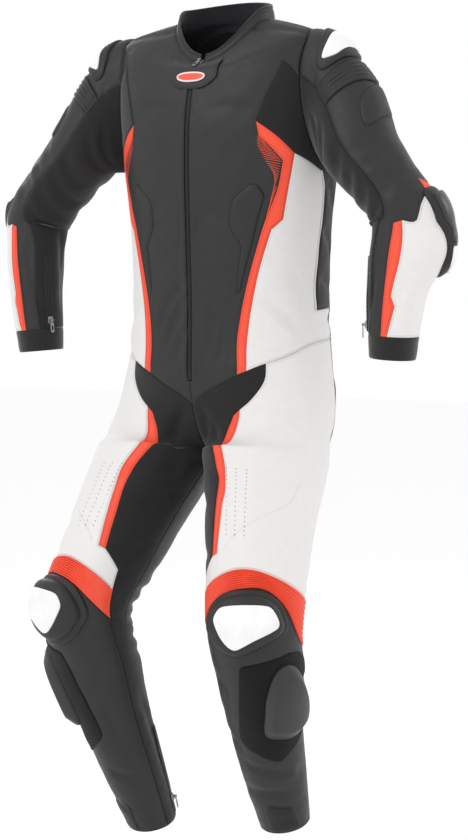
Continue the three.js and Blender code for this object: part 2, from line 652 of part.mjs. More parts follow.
// A band of ribs between two seams with equal points, raised outside over a plain inside.
function ribbed(surface, top, low, side, { ribs, height, wall }) {
  const rows = 2 * ribs;
  const innerRows = 3;
  const across = top.length;
  const at = (i, t) => [0, 1].map(k => top[i][k] + (low[i][k] - top[i][k]) * t);
  const outward = handed(surface, at, side);
  const sheet = (count, lift) => {
    const points = [];
    for (let j = 0; j <= count; j += 1) for (let i = 0; i < across; i += 1) points.push(at(i, j / count));
    const triangles = [];
    for (let j = 0; j < count; j += 1) {
      for (let i = 0; i < across - 1; i += 1) {
        const [a, b, c, d] = [j * across + i, j * across + i + 1, (j + 1) * across + i + 1, (j + 1) * across + i];
        const quad = outward ? [[a, b, c], [a, c, d]] : [[a, c, b], [a, d, c]];
        triangles.push(...quad);
      }
    }
    const places = points.map(([a, b]) => surface.place(a, b, side));
    const normals = points.map(point => normalAt(surface, point, side));
    const insets = borderInsets(places, normals, borderEdges(triangles), SEAM_GAP);
    const vertices = places.map((p, i) => p.clone().add(insets[i])
      .addScaledVector(normals[i], lift(Math.floor(i / across))));
    return { vertices, triangles };
  };
  const outer = sheet(rows, j => (j % 2 ? height : 0));
  const inner = sheet(innerRows, () => -wall);
  const shift = outer.vertices.length;
  const faces = [...outer.triangles, ...inner.triangles.map(([a, b, c]) => [c + shift, b + shift, a + shift])];
  const border = (count, offset) => ({
    top: range(across).map(i => i + offset),
    low: range(across).map(i => count * across + i + offset),
    start: range(count + 1).map(j => j * across + offset),
    end: range(count + 1).map(j => j * across + across - 1 + offset),
  });
  const [o, n] = [border(rows, 0), border(innerRows, shift)];
  const back = list => [...list].reverse();
  const sides = [strip(o.top, n.top), strip(o.end, n.end), strip(back(o.low), back(n.low)),
    strip(back(o.start), back(n.start))].flat();
  faces.push(...(outward ? sides : sides.map(([a, b, c]) => [a, c, b])));
  return geometryOf([...outer.vertices, ...inner.vertices], faces);
}

const range = count => Array.from({ length: count }, (_, i) => i);

// Whether across and down run counter-clockwise seen from outside.
function handed(surface, at, turn) {
  const [p, q, r] = [at(0, 0), at(1, 0), at(0, 1)];
  const area = (q[0] - p[0]) * surface.width * (r[1] - p[1]) - (q[1] - p[1]) * (r[0] - p[0]) * surface.width;
  return area * turn > 0;
}

// Triangles between two rows of points that need not have the same count.
function strip(upper, lower) {
  const faces = [];
  let [i, j] = [0, 0];
  while (i < upper.length - 1 || j < lower.length - 1) {
    const next = (i + 1) / (upper.length - 1) <= (j + 1) / (lower.length - 1);
    if (j === lower.length - 1 || (next && i < upper.length - 1)) {
      faces.push([upper[i], lower[j], upper[i + 1]]);
      i += 1;
    } else {
      faces.push([upper[i], lower[j], lower[j + 1]]);
      j += 1;
    }
  }
  return faces;
}

// A closed outline of even points round a superellipse, with smaller rings of points inside it.
function ovalOutline({ centre, half, square = 2, count, tilt = 0 }, scale = 1) {
  return range(count).map(i => {
    const angle = 2 * Math.PI * i / count;
    const x = half[0] * scale * signedPower(Math.cos(angle), 2 / square);
    const y = half[1] * scale * signedPower(Math.sin(angle), 2 / square);
    return [centre[0] + x - tilt * y, centre[1] + y];
  });
}

const ovalReach = ({ centre, half, square = 2, tilt = 0 }, [a, b]) => {
  const y = b - centre[1];
  const x = a - centre[0] + tilt * y;
  return (Math.abs(x / half[0]) ** square + Math.abs(y / half[1]) ** square) ** (1 / square);
};

// A dome that stands rim high at its edge and crown high at its middle.
const dome = (oval, rim, crown) => point => {
  const reach = Math.min(ovalReach(oval, point), 1);
  return rim + (crown - rim) * Math.sqrt(1 - reach * reach);
};

// Hard and raised pieces: their outlines on the pattern, rim and crown heights.
const SHOULDER_CUP = { centre: [0, 47], half: [0.115, 21], square: 4, count: 16 };
const ELBOW_CUP = { centre: [-0.03, 284], half: [0.15, 40], square: 2.6, count: 16 };
const KNEE_CUP = { centre: [0.305, -951], half: [0.17, 34], square: 2.6, count: 18 };
const HOOK_PANEL = [[0.262, -1010], [0.24, -1056], [0.232, -1104], [0.29, -1146], [0.362, -1168], [0.43, -1164],
  [0.52, -1150], [0.57, -1128], [0.578, -1070], [0.572, -1016], [0.5, -1004], [0.42, -998], [0.34, -1000]];
const PUCK = { centre: [0.452, -1072], half: [0.095, 58], square: 2.5, count: 14, tilt: -0.0006 };
const HOOK_THICK = 1.2;

// The collar stands on the neck edge; across 0 to 1 is its left half, 1 to 2 its right half from the back.
const COLLAR_FRONT_HEIGHT = 12;
const COLLAR_BACK_HEIGHT = 28;
const COLLAR_LEAN = 5;
const halfOf = across => (across <= 1 ? [across, LEFT] : [2 - across, RIGHT]);
const COLLAR = {
  width: 260,
  place(across, rise) {
    const [s, side] = halfOf(across);
    const point = BODY.place(s, NECK, side);
    const inward = vec(0, torsoAt.y(NECK), 0).sub(point).setZ(0).normalize();
    const height = COLLAR_BACK_HEIGHT - (COLLAR_BACK_HEIGHT - COLLAR_FRONT_HEIGHT) * Math.cos(Math.PI * s / 2) ** 2;
    return point.addScaledVector(inward, COLLAR_LEAN * rise).add(vec(0, 0, height * rise));
  },
  normal(across, rise) {
    const [s, side] = halfOf(across);
    if (rise === 0) return neckNormal(s, side);
    return BODY.place(s, NECK, side).sub(vec(0, torsoAt.y(NECK), 0)).setZ(COLLAR_LEAN).normalize();
  },
};

// The whole back as one surface, across as on the collar.
const BACK = {
  width: BODY.width,
  place(across, height) {
    const [s, side] = halfOf(across);
    return BODY.place(s, height, side);
  },
};

// The chest about the zip, by the distance across from the mid-plane and the height.
const CHEST = {
  width: 1,
  place(x, height) {
    const point = bodyPoint(Math.asin((Math.abs(x) / torsoAt.half(height)) ** (torsoAt.square(height) / 2)) / Math.PI,
      height);
    point.x = x;
    return point;
  },
  normal(x, height) {
    const reach = 3;
    const across = CHEST.place(x + reach, height).sub(CHEST.place(x - reach, height));
    return across.cross(CHEST.place(x, Math.min(height + 1, NECK)).sub(CHEST.place(x, height - 1))).normalize();
  },
};

// The flap over the top of the zip, and the plain badge set on it.
const BIB_LIFT = 1.2;
const BIB_THICK = 2.2;
const BIB_HALF = 46;
const BIB_TOP = -4;
const BIB_SIDE = -46;
const BIB_LOW = -76;
const BADGE = { centre: [0, -42], half: [25, 12], square: 2.3, count: 14 };

// The zips that lie on the cloth: centre across, half width, from and to along, all on the pattern.
const CUFF_ZIP = { across: 0.44, half: 0.017, from: 322, to: 434, rows: 4 };
const ANKLE_ZIP = { across: 0.93, half: 0.0135, from: -1150, to: -1300, rows: 5 };
const ZIP_THICK = 1.6;
const CUFF_SLIDER = 424;
const ANKLE_SLIDER = -1274;
const MAIN_SLIDER = 2.5;

const stripOutline = ({ across, half, from, to, rows }) => {
  const along = range(rows + 1).map(i => from + (to - from) * i / rows);
  return [...along.map(b => [across - half, b]), ...along.reverse().map(b => [across + half, b])];
};

// A grid of points with two triangles to each cell; the last row may close on the first.
function gridPattern(surface, acrossList, alongList, tag) {
  const points = alongList.flatMap((b, j) => acrossList.map(a => (tag && j === 0 ? [a, b, tag] : [a, b])));
  const n = acrossList.length;
  const triangles = range(alongList.length - 1).flatMap(j => range(n - 1).flatMap(i => {
    const corner = j * n + i;
    return [[corner, corner + 1, corner + n + 1], [corner, corner + n + 1, corner + n]];
  }));
  return { surface, points, triangles };
}

// The hinge of a pull tab: a pin between two ears on the slider, inside the tab's ring.
const PIN_RADIUS = 0.85;
const PIN_RISE = 6.4;
const RING_BORE = 1.25;
const RING_RADIUS = 2.1;
const RING_HALF = 1.8;
const EAR_IN = 2.3;
const EAR_OUT = 3.3;
const EAR_HALF = 1.9;
const SLIDER_SIZE = [8.4, 12, 2.8];
const TAB_THICK = 1.4;
const TAB_HALF = 3.2;
const TAB_LENGTH = 21;
const PIN_SIDES = 8;

// A closed geometry as a solid that can be joined and cut, and back again.
function toSolid(geometry) {
  const bare = geometry.clone();
  bare.deleteAttribute('normal');
  bare.deleteAttribute('uv');
  const merged = mergeVertices(bare, 1e-4);
  return new wasm.Manifold(new wasm.Mesh({
    numProp: 3,
    vertProperties: new Float32Array(merged.attributes.position.array),
    triVerts: new Uint32Array(merged.index.array),
  }));
}

function fromSolid(solid) {
  const mesh = solid.getMesh();
  const geometry = new THREE.BufferGeometry();
  geometry.setAttribute('position', new THREE.BufferAttribute(new Float32Array(mesh.vertProperties), 3));
  geometry.setIndex([...mesh.triVerts]);
  geometry.computeVertexNormals();
  return geometry;
}

const block = (x0, x1, y0, y1, z0, z1) => toSolid(new THREE.BoxGeometry(x1 - x0, y1 - y0, z1 - z0)
  .translate((x0 + x1) / 2, (y0 + y1) / 2, (z0 + z1) / 2));
const rod = (radius, length) => toSolid(new THREE.CylinderGeometry(radius, radius, length, PIN_SIDES)
  .rotateZ(Math.PI / 2).translate(0, 0, PIN_RISE));

// In the slider's own frame X is across the zip, Y points down it and Z out of the cloth.
function sliderGeometry() {
  const [width, length, height] = SLIDER_SIZE;
  let solid = block(-width / 2, width / 2, -length / 2, length / 2, SEAM_GAP, SEAM_GAP + height);
  for (const x of [-EAR_OUT, EAR_IN]) {
    solid = solid.add(block(x, x + EAR_OUT - EAR_IN, -EAR_HALF, EAR_HALF, height, PIN_RISE + EAR_HALF));
  }
  return fromSolid(solid.add(rod(PIN_RADIUS, 2 * EAR_OUT - 0.4)));
}

function tabGeometry() {
  const half = TAB_THICK / 2;
  const neck = block(-RING_HALF, RING_HALF, 0.4, EAR_HALF + 1.8, PIN_RISE - half, PIN_RISE + half);
  const plate = block(-TAB_HALF, TAB_HALF, EAR_HALF + 1.4, TAB_LENGTH, PIN_RISE - half, PIN_RISE + half);
  const window = block(-TAB_HALF / 2, TAB_HALF / 2, TAB_LENGTH * 0.45, TAB_LENGTH * 0.8, 0, PIN_RISE * 2);
  return fromSolid(rod(RING_RADIUS, 2 * RING_HALF).add(neck).add(plate).subtract(window)
    .subtract(rod(RING_BORE, 4 * RING_HALF)));
}

const part = new THREE.Group();

function addPiece(name, geometry, material) {
  const mesh = new THREE.Mesh(geometry, material);
  mesh.name = name;
  part.add(mesh);
}

// The place of a small piece on a surface: its Z along the outward direction, its Y down the zip,
// or plumb where the cloth leans back below it and a tab hangs free.
function frameOn(surface, across, along, lower, side, base) {
  const place = surface.place(across, along, side);
  const out = surface.normal(across, along, side);
  const down = surface.place(across, lower, side).sub(place);
  down.addScaledVector(out, -down.dot(out)).normalize();
  const pin = down.clone().cross(out);
  place.addScaledVector(out, base);
  const plumb = vec(0, 0, -1).addScaledVector(pin, pin.z).normalize();
  if (plumb.dot(out) > 0) down.copy(plumb);
  return new THREE.Matrix4().makeBasis(pin, down, pin.clone().cross(down)).setPosition(place);
}

function addPull(name, frame) {
  const mesh = new THREE.Mesh(tabGeometry(), FINISH.zipMetal);
  mesh.name = name;
  frame.decompose(mesh.position, mesh.quaternion, mesh.scale);
  part.add(mesh);
}

// A zip's tape and chain with its closed slider, as one solid.
const withSlider = (strip, frame) => fromSolid(toSolid(strip).add(toSolid(sliderGeometry().applyMatrix4(frame))));

const suffix = side => (side === LEFT ? 'left' : 'right');
const plain = (pattern, side, thickness) => solidOf(compact(pattern), side, () => 0, () => -thickness);

// Torso panels.
const torsoPanels = {
  front: [loopOf(S.zip, S.neckFront, S.shoulder, armholeOnBody(0, TURN_FRONT), S.frontYoke, S.frontEdge,
    S.stripeInner, S.frontLow, S.frontFoot), FINISH.blackLeather, LEATHER],
  side_stripe: [loopOf(S.stripeTop, S.stripeOuter, S.stripeLow, S.stripeInner), FINISH.redLeather, LEATHER],
  side_white: [loopOf(S.whiteTop, S.meshFront, S.meshLow, S.backLower, S.hip, S.whiteLow, S.stripeOuter),
    FINISH.whiteLeather, LEATHER],
  underarm_stretch: [loopOf(armholeOnBody(TURN_FRONT, TURN_SIDE), S.backUpper, S.meshLow, S.meshFront, S.whiteTop,
    S.stripeTop, S.frontEdge, S.frontYoke), FINISH.stretch, STRETCH],
};

function addTorso(side) {
  for (const [name, [loop, material, thickness]] of Object.entries(torsoPanels)) {
    addPiece(`${name}_${suffix(side)}`, plain(cutPanel(BODY, loop), side, thickness), material);
  }
}

// The back in one piece, from its left edge's seams and their mirror image.
function addBack() {
  const centre = [[1, -492], [1, NECK]];
  const half = loopOf(centre, S.neckBack, S.shoulder, armholeOnBody(1, TURN_SIDE), S.backUpper, S.backLower,
    S.waistBack);
  const left = [...half.slice(1), half[0]];
  const right = left.slice(1, -1).reverse().map(([s, height, tag]) => (tag === undefined ? [2 - s, height]
    : [2 - s, height, tag]));
  addPiece('back', plain(cutPanel(BACK, [...left, ...right], [], STEP + 8), LEFT, LEATHER), FINISH.blackLeather);
}

// Leg panels, with the pieces that lie on the shin.
const legPanels = {
  crotch_stretch: [loopOf(S.frontLow, S.stripeLow, S.whiteLow, S.crotchEdge, S.thighStripeTop, S.thighStripeInner,
    S.whiteTongue, S.kneeInner, S.kneeCalfIn, S.inseamThigh, S.centreFront), FINISH.stretch, STRETCH],
  thigh_stripe: [loopOf(S.thighStripeTop, S.thighStripeInner, S.thighStripeEnd, S.thighStripeOuter),
    FINISH.redLeather, LEATHER],
  thigh_white: [loopOf(S.hip, S.thighRear, S.kneeTop, S.whiteTongue, S.thighStripeEnd, S.thighStripeOuter,
    S.crotchEdge), FINISH.whiteLeather, LEATHER],
  seat_thigh_back: [loopOf(S.waistBack, S.centreBack, turned(S.inseamThigh, 1), S.kneePit, S.kneeOuter, S.thighRear),
    FINISH.blackLeather, LEATHER],
};

function addLeg(side) {
  const name = suffix(side);
  for (const [panel, [loop, material, thickness]] of Object.entries(legPanels)) {
    addPiece(`${panel}_${name}`, plain(cutPanel(BODY, loop), side, thickness), material);
  }
  const calf = cutPanel(BODY, loopOf(S.kneePit, turned(S.kneeCalfIn, 1), turned(S.shinIn, 1), S.hemCalf, S.shinOut),
    [stripOutline(ANKLE_ZIP)]);
  addPiece(`calf_${name}`, plain(calf, side, STRETCH), FINISH.stretch);
  addZip('ankle', calf, ANKLE_ZIP, ANKLE_SLIDER, side);
  addPiece(`knee_ribs_${name}`, ribbed(BODY, S.kneeTop, S.kneeLow, side, { ribs: 9, height: 1.8, wall: STRETCH }),
    FINISH.redLeather);
  const rings = [[KNEE_CUP, 0.66], [KNEE_CUP, 0.33], [PUCK, 0.6]].map(([oval, scale]) =>
    ovalOutline({ ...oval, count: oval.count - 6 }, scale));
  const outlines = [ovalOutline(KNEE_CUP), HOOK_PANEL, ovalOutline(PUCK), ...rings];
  const shin = cutPanel(BODY, loopOf(S.kneeLow, S.shinOut, S.hemShin, S.shinIn), outlines);
  addPiece(`shin_${name}`, plain(shin, side, LEATHER), FINISH.blackLeather);
  addPiece(`knee_cup_${name}`, raised(shin, ovalOutline(KNEE_CUP), side, SEAM_GAP, dome(KNEE_CUP, 5, 24)),
    FINISH.hardShell);
  addPiece(`hook_panel_${name}`, raised(shin, HOOK_PANEL, side, SEAM_GAP, () => HOOK_THICK), FINISH.stretch);
  addPiece(`knee_slider_${name}`, raised(shin, ovalOutline(PUCK), side, SEAM_GAP * 2 + HOOK_THICK, dome(PUCK, 9, 19)),
    FINISH.blackShell);
}

// Sleeve panels, with the cups that lie on the shoulder and the elbow.
function addSleeve(side) {
  const name = suffix(side);
  const cap = cutPanel(ARM, loopOf(armholeOnSleeve(-0.25, TURN_FRONT), T.capFront, T.ribTop, T.capBack),
    [ovalOutline(SHOULDER_CUP), ovalOutline({ ...SHOULDER_CUP, count: 8 }, 0.5)], 34);
  addPiece(`shoulder_cap_${name}`, plain(cap, side, LEATHER), FINISH.blackLeather);
  addPiece(`shoulder_cup_${name}`, raised(cap, ovalOutline(SHOULDER_CUP), side, SEAM_GAP, dome(SHOULDER_CUP, 4, 11)),
    FINISH.hardShell);
  addPiece(`arm_ribs_${name}`, ribbed(ARM, T.ribTop, T.ribLow, side, { ribs: 5, height: 2.2, wall: STRETCH }),
    FINISH.blackLeather);
  const leather = cutPanel(ARM, loopOf(T.ribLow, T.leatherFront, T.cuffLeather, T.stripeInner, T.stripeTop, T.elbow,
    T.upperBack), [], 36);
  addPiece(`sleeve_leather_${name}`, plain(leather, side, LEATHER), FINISH.blackLeather);
  const stretch = cutPanel(ARM, loopOf(armholeOnSleeve(TURN_FRONT, TURN_BACK), turned(T.capBack, 1),
    turned(T.ribBack, 1), turned(T.upperBack, 1), turned(T.whiteBack, 1), T.cuffStretch, T.leatherFront, T.ribFront,
    T.capFront), [stripOutline(CUFF_ZIP)], 38);
  addPiece(`sleeve_stretch_${name}`, plain(stretch, side, STRETCH), FINISH.stretch);
  addZip('cuff', stretch, CUFF_ZIP, CUFF_SLIDER, side);
  const wrist = seam([[-0.25, WRIST], [0.75, WRIST]], ARM.width, 24);
  const slit = [[-0.25, CUFF_TOP], [-0.25, WRIST]];
  const cuff = cutPanel(ARM, loopOf(slit, wrist, turned(slit, 1), T.cuffStretch, T.cuffLeather, T.cuffStripe,
    T.cuffWhite), [], 34);
  addPiece(`cuff_${name}`, plain(cuff, side, STRETCH), FINISH.stretch);
  const stripe = cutPanel(ARM, loopOf(T.stripeTop, T.stripeOuter, T.cuffStripe, T.stripeInner));
  addPiece(`forearm_stripe_${name}`, plain(stripe, side, LEATHER), FINISH.redLeather);
  const white = cutPanel(ARM, loopOf(T.elbow, T.whiteBack, T.cuffWhite, T.stripeOuter),
    [ovalOutline(ELBOW_CUP), ovalOutline({ ...ELBOW_CUP, count: 9 }, 0.5)], 34);
  addPiece(`forearm_white_${name}`, plain(white, side, LEATHER), FINISH.whiteLeather);
  addPiece(`elbow_cup_${name}`, raised(white, ovalOutline(ELBOW_CUP), side, SEAM_GAP, dome(ELBOW_CUP, 6, 18)),
    FINISH.blackShell);
}

// The pieces on the mid-plane: collar, flap, badge, the main zip and its pull.
function addCentre() {
  const halfColumns = [...S.neckFront, ...S.neckBack.slice(1)].map(([s]) => s);
  const around = [...halfColumns, ...halfColumns.slice(0, -1).reverse().map(s => 2 - s)];
  const collar = gridPattern(COLLAR, around, [0, 0.5, 1], NECK_EDGE);
  addPiece('collar', solidOf(collar, LEFT, () => 0, () => -LEATHER), FINISH.blackLeather);
  const low = x => BIB_SIDE + (BIB_LOW - BIB_SIDE) * (1 - (Math.abs(x) / BIB_HALF) ** 3);
  const across = range(7).map(i => BIB_HALF * (i / 3 - 1));
  const bibLoop = [...across.map(x => [x, low(x)]), [BIB_HALF, (BIB_SIDE + BIB_TOP) / 2],
    ...[...across].reverse().map(x => [x, BIB_TOP]), [-BIB_HALF, (BIB_SIDE + BIB_TOP) / 2]];
  const bib = cutPanel(CHEST, bibLoop, [ovalOutline(BADGE)], 17);
  addPiece('collar_flap', solidOf(compact(bib), LEFT, () => BIB_LIFT + BIB_THICK, () => BIB_LIFT),
    FINISH.blackLeather);
  addPiece('badge', raised(bib, ovalOutline(BADGE), LEFT, BIB_LIFT + BIB_THICK + SEAM_GAP, dome(BADGE, 1.4, 3)),
    FINISH.redLeather);
  const zipRows = range(18).map(i => J.zipEnd[1] + 0.3 + (NECK - J.zipEnd[1] - 0.6) * i / 17);
  const chain = gridPattern(CHEST, [-ZIP_TAPE_HALF, 0, ZIP_TAPE_HALF], zipRows);
  const frame = frameOn(CHEST, 0, MAIN_SLIDER, MAIN_SLIDER - 12, LEFT, -SEAM_GAP);
  addPiece('main_zip', withSlider(solidOf(chain, LEFT, () => 0, () => -LEATHER, 0), frame), FINISH.zipMetal);
  addPull('main_pull', frame);
}

// A zip lying on a panel, its fixed slider joined to it, and the pull tab that hinges on the slider.
function addZip(name, panel, zip, slider, side) {
  const lower = slider + (zip.to - zip.from) * 0.1;
  const frame = frameOn(panel.surface, zip.across, slider, lower, side, ZIP_THICK - 0.5);
  const strip = raised(panel, stripOutline(zip), side, SEAM_GAP, () => ZIP_THICK);
  addPiece(`${name}_zip_${suffix(side)}`, withSlider(strip, frame), FINISH.zipMetal);
  addPull(`${name}_pull_${suffix(side)}`, frame);
}

addCentre();
addTorso(LEFT);
addTorso(RIGHT);
addBack();
addSleeve(LEFT);
addSleeve(RIGHT);
addLeg(LEFT);
addLeg(RIGHT);

export default part;
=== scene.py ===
"""A motorcycle race suit in its worn pose: cut panels, ribs, cups, zips and sewing over its frame.

The tables and patterns are in millimetres, as a cutter reads them. Every mesh is made in metres.
The suit faces -Y, its own left side is +X and +Z is up.
"""

import logging
import math
from dataclasses import dataclass, field
from enum import Enum
from typing import Callable, Optional, Sequence

import bpy
import numpy as np
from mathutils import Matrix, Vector
from mathutils.geometry import delaunay_2d_cdt


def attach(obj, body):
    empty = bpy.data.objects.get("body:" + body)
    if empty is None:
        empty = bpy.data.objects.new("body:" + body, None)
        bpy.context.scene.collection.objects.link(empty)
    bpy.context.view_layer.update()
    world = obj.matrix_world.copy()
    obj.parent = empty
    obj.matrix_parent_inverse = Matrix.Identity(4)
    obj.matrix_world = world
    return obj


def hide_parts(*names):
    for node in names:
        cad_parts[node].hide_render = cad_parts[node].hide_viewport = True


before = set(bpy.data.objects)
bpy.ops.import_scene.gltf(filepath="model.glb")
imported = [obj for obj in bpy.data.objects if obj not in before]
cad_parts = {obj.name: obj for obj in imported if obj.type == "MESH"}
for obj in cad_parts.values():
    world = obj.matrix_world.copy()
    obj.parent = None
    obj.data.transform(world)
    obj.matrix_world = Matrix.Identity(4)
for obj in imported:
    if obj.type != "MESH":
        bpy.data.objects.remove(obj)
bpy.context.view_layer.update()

log = logging.getLogger("race_suit")
Array = np.ndarray
Points = Sequence[tuple]

MM = 0.001
LEATHER = 2.4
STRETCH = 2.0
SEAM_GAP = 0.3
FAR_FROM_EDGE = 50.0
STITCH_INSET = 2.8
BODY_NAME = "suit"


class Side(Enum):
    """The suit's own left or right."""

    LEFT = 1
    RIGHT = -1

    @property
    def label(self) -> str:
        """The word that ends a piece's name."""
        return self.name.lower()


class Held(Enum):
    """How a panel's cloth is held."""

    HUNG = "hung"
    STRETCHED = "stretched"


# Forms: tables of sections

TORSO_COLUMNS = ("height", "y", "half", "front", "back", "square", "drop", "rise")
TORSO_ROWS = (
    (6, -18, 84, 70, 70, 2.0, -70, 6),
    (-4, -22, 128, 76, 76, 2.0, -66, 2),
    (-16, -26, 168, 84, 82, 2.0, -60, 0),
    (-40, -20, 188, 96, 94, 2.1, -50, -2),
    (-80, -10, 192, 112, 106, 2.3, -32, -2),
    (-150, -2, 189, 128, 116, 2.4, -8, 0),
    (-230, 0, 182, 132, 118, 2.35, 0, 0),
    (-320, 0, 173, 129, 114, 2.25, 0, 0),
    (-430, 0, 170, 124, 112, 2.2, 0, 0),
    (-520, -4, 174, 120, 120, 2.2, 0, 0),
    (-600, -16, 188, 112, 128, 2.2, 0, 0),
    (-690, -40, 198, 104, 122, 2.2, 0, 0),
)
LEG_COLUMNS = ("height", "x", "y", "half", "front", "back", "tilt")
LEG_ROWS = (
    (-520, 86, -10, 86, 106, 116, 0),
    (-600, 96, -26, 96, 102, 116, 2),
    (-690, 102, -58, 102, 98, 104, 12),
    (-780, 122, -108, 90, 88, 92, 24),
    (-870, 144, -152, 81, 80, 80, 22),
    (-950, 160, -182, 74, 76, 70, 4),
    (-1030, 156, -160, 70, 66, 70, -16),
    (-1120, 146, -128, 58, 58, 64, -20),
    (-1220, 137, -84, 50, 49, 52, -20),
    (-1310, 130, -42, 40, 40, 42, -20),
)
SLEEVE_COLUMNS = ("along", "x", "y", "z", "out", "front", "out_x", "out_y", "out_z")
SLEEVE_ROWS = (
    (135, 264, -46, -206, 60, 58, 0.8, 0.05, 0.5),
    (195, 312, -52, -258, 55, 56, 0.92, 0.1, 0.3),
    (260, 354, -54, -322, 52, 52, 0.98, 0.18, 0.05),
    (330, 350, -64, -388, 48, 48, 0.99, 0.15, 0),
    (400, 344, -68, -458, 43, 43, 0.99, 0.1, 0),
    (475, 338, -66, -532, 36, 38, 1, 0.05, 0),
)
ARMHOLE_ROWS = (
    (0, 0.505, -16), (0.08, 0.4, -26), (0.16, 0.345, -60), (0.25, 0.345, -110),
    (0.35, 0.375, -165), (0.43, 0.43, -210), (0.5, 0.5, -232), (0.57, 0.57, -214),
    (0.65, 0.635, -170), (0.75, 0.66, -110), (0.84, 0.65, -60), (0.92, 0.595, -28),
)
SPLIT_TOP, CROTCH, KNEE_HEIGHT, HEM, NECK = -545.0, -690.0, -950.0, -1310.0, 6.0
LEFT_SHIN_LIFT = 0.925
CAP_END, WRIST, CUFF_TOP = 135.0, 475.0, 438.0
CAP_TOP, CAP_MIDDLE, CAP_LOW = (190, -20, 30), (110, -20, -40), (30, -10, -20)
CAP_PULL = 1.15
# Where the sleeves stand fuller on their outer side: middle and reach along, and each side's height
FULLNESS = ((105, 38, {Side.LEFT: 20, Side.RIGHT: 9}), (304, 46, {Side.LEFT: 24, Side.RIGHT: 0}))
ZIP_HALF = 4.6
TURN_FRONT, TURN_SIDE, TURN_BACK = 5 / 24, 14 / 24, 18 / 24


def hermite(t: Array, y0: Array, m0: Array, y1: Array, m1: Array) -> Array:
    """The cubic from y0 to y1 that leaves with slope m0 and arrives with slope m1.

    Args:
        t: Places from 0 to 1.
        y0, m0, y1, m1: Values and slopes at both ends.

    Returns:
        The cubic's value at each place.
    """
    t2, t3 = t * t, t * t * t
    return (2 * t3 - 3 * t2 + 1) * y0 + (t3 - 2 * t2 + t) * m0 + (3 * t2 - 2 * t3) * y1 + (t3 - t2) * m1


def signed_power(value: Array, power: Array) -> Array:
    """The value's size raised to the power, with the value's sign."""
    return np.sign(value) * np.abs(value) ** power


def unit(vectors: Array) -> Array:
    """The vectors at length one."""
    return vectors / np.maximum(np.linalg.norm(vectors, axis=-1, keepdims=True), 1e-12)


def smoothstep(value: Array) -> Array:
    """0 below 0, 1 above 1, and the cubic that joins them flat at both ends."""
    t = np.clip(value, 0, 1)
    return t * t * (3 - 2 * t)


class Table:
    """Columns over a key, each a smooth curve through its rows that never overshoots them."""

    def __init__(self, columns: Sequence[str], rows: Sequence[tuple]) -> None:
        """Sorts the rows by their key and works out a slope at each row.

        Args:
            columns: The columns' names, the key first.
            rows: The rows, in any order.
        """
        data = np.array(sorted(rows), float).T
        self.keys = data[0]
        self.values = dict(zip(columns[1:], data[1:]))
        self.slopes = {name: self._slopes(values) for name, values in self.values.items()}

    def _slopes(self, values: Array) -> Array:
        """Slopes that keep each stretch of the column between its two rows."""
        spans = np.diff(self.keys)
        chords = np.diff(values) / spans
        before, after = chords[:-1], chords[1:]
        mean = (before * spans[1:] + after * spans[:-1]) / (spans[1:] + spans[:-1])
        held = np.sign(mean) * np.minimum(np.abs(mean), 3 * np.minimum(np.abs(before), np.abs(after)))
        return np.concatenate([chords[:1], np.where(before * after <= 0, 0, held), chords[-1:]])

    def at(self, name: str, where: Array) -> Array:
        """The column's value at each key.

        Args:
            name: The column.
            where: Keys, held to the table's ends.

        Returns:
            One value for each key.
        """
        x = np.clip(where, self.keys[0], self.keys[-1])
        i = np.clip(np.searchsorted(self.keys, x, side="right") - 1, 0, len(self.keys) - 2)
        span = self.keys[i + 1] - self.keys[i]
        y, m = self.values[name], self.slopes[name]
        return hermite((x - self.keys[i]) / span, y[i], m[i] * span, y[i + 1], m[i + 1] * span)


TORSO = Table(TORSO_COLUMNS, TORSO_ROWS)
LEG = Table(LEG_COLUMNS, LEG_ROWS)
SLEEVE = Table(SLEEVE_COLUMNS, SLEEVE_ROWS)


# Forms: surfaces


def torso_point(s: Array, height: Array) -> Array:
    """Half a superellipse round the torso, from s 0 at the front centre to 1 at the back centre."""
    cos, sin = np.cos(np.pi * s), np.sin(np.pi * s)
    power = 2 / TORSO.at("square", height)
    depth = np.where(cos > 0, TORSO.at("front", height), TORSO.at("back", height))
    shift = np.where(cos > 0, TORSO.at("drop", height), TORSO.at("rise", height))
    x = TORSO.at("half", height) * signed_power(sin, power)
    y = TORSO.at("y", height) - depth * signed_power(cos, power)
    return np.stack([x, y, height + shift * cos * cos], axis=-1)


def leg_point(s: Array, height: Array) -> Array:
    """A tilted ellipse round the leg, from the inseam round the front and outside back to the inseam."""
    sin, cos = np.sin(2 * np.pi * s), np.cos(2 * np.pi * s)
    depth = np.where(sin > 0, LEG.at("front", height), LEG.at("back", height))
    tilt = np.radians(LEG.at("tilt", height))
    half = np.minimum(LEG.at("half", height), LEG.at("x", height) - SEAM_GAP)
    x = LEG.at("x", height) - half * cos
    y = LEG.at("y", height) - depth * sin * np.cos(tilt)
    return np.stack([x, y, height + depth * sin * np.sin(tilt)], axis=-1)


def armhole_at(turn: Array) -> Array:
    """The armhole's place on the torso at each turn, round the closed loop of its table."""
    rows = np.array(ARMHOLE_ROWS)
    count = len(rows)
    t = np.mod(turn, 1.0)
    i = np.clip(np.searchsorted(rows[:, 0], t, side="right") - 1, 0, count - 1)
    turns = lambda k: rows[k % count, 0] + np.floor_divide(k, count)
    span = turns(i + 1) - turns(i)

    def value(column: int) -> Array:
        """The column at each turn."""
        at = lambda k: rows[k % count, column]
        tangent = lambda k: (at(k + 1) - at(k - 1)) / (turns(k + 1) - turns(k - 1))
        return hermite((t - turns(i)) / span, at(i), tangent(i) * span, at(i + 1), tangent(i + 1) * span)

    return np.stack([value(1), value(2)], axis=-1)


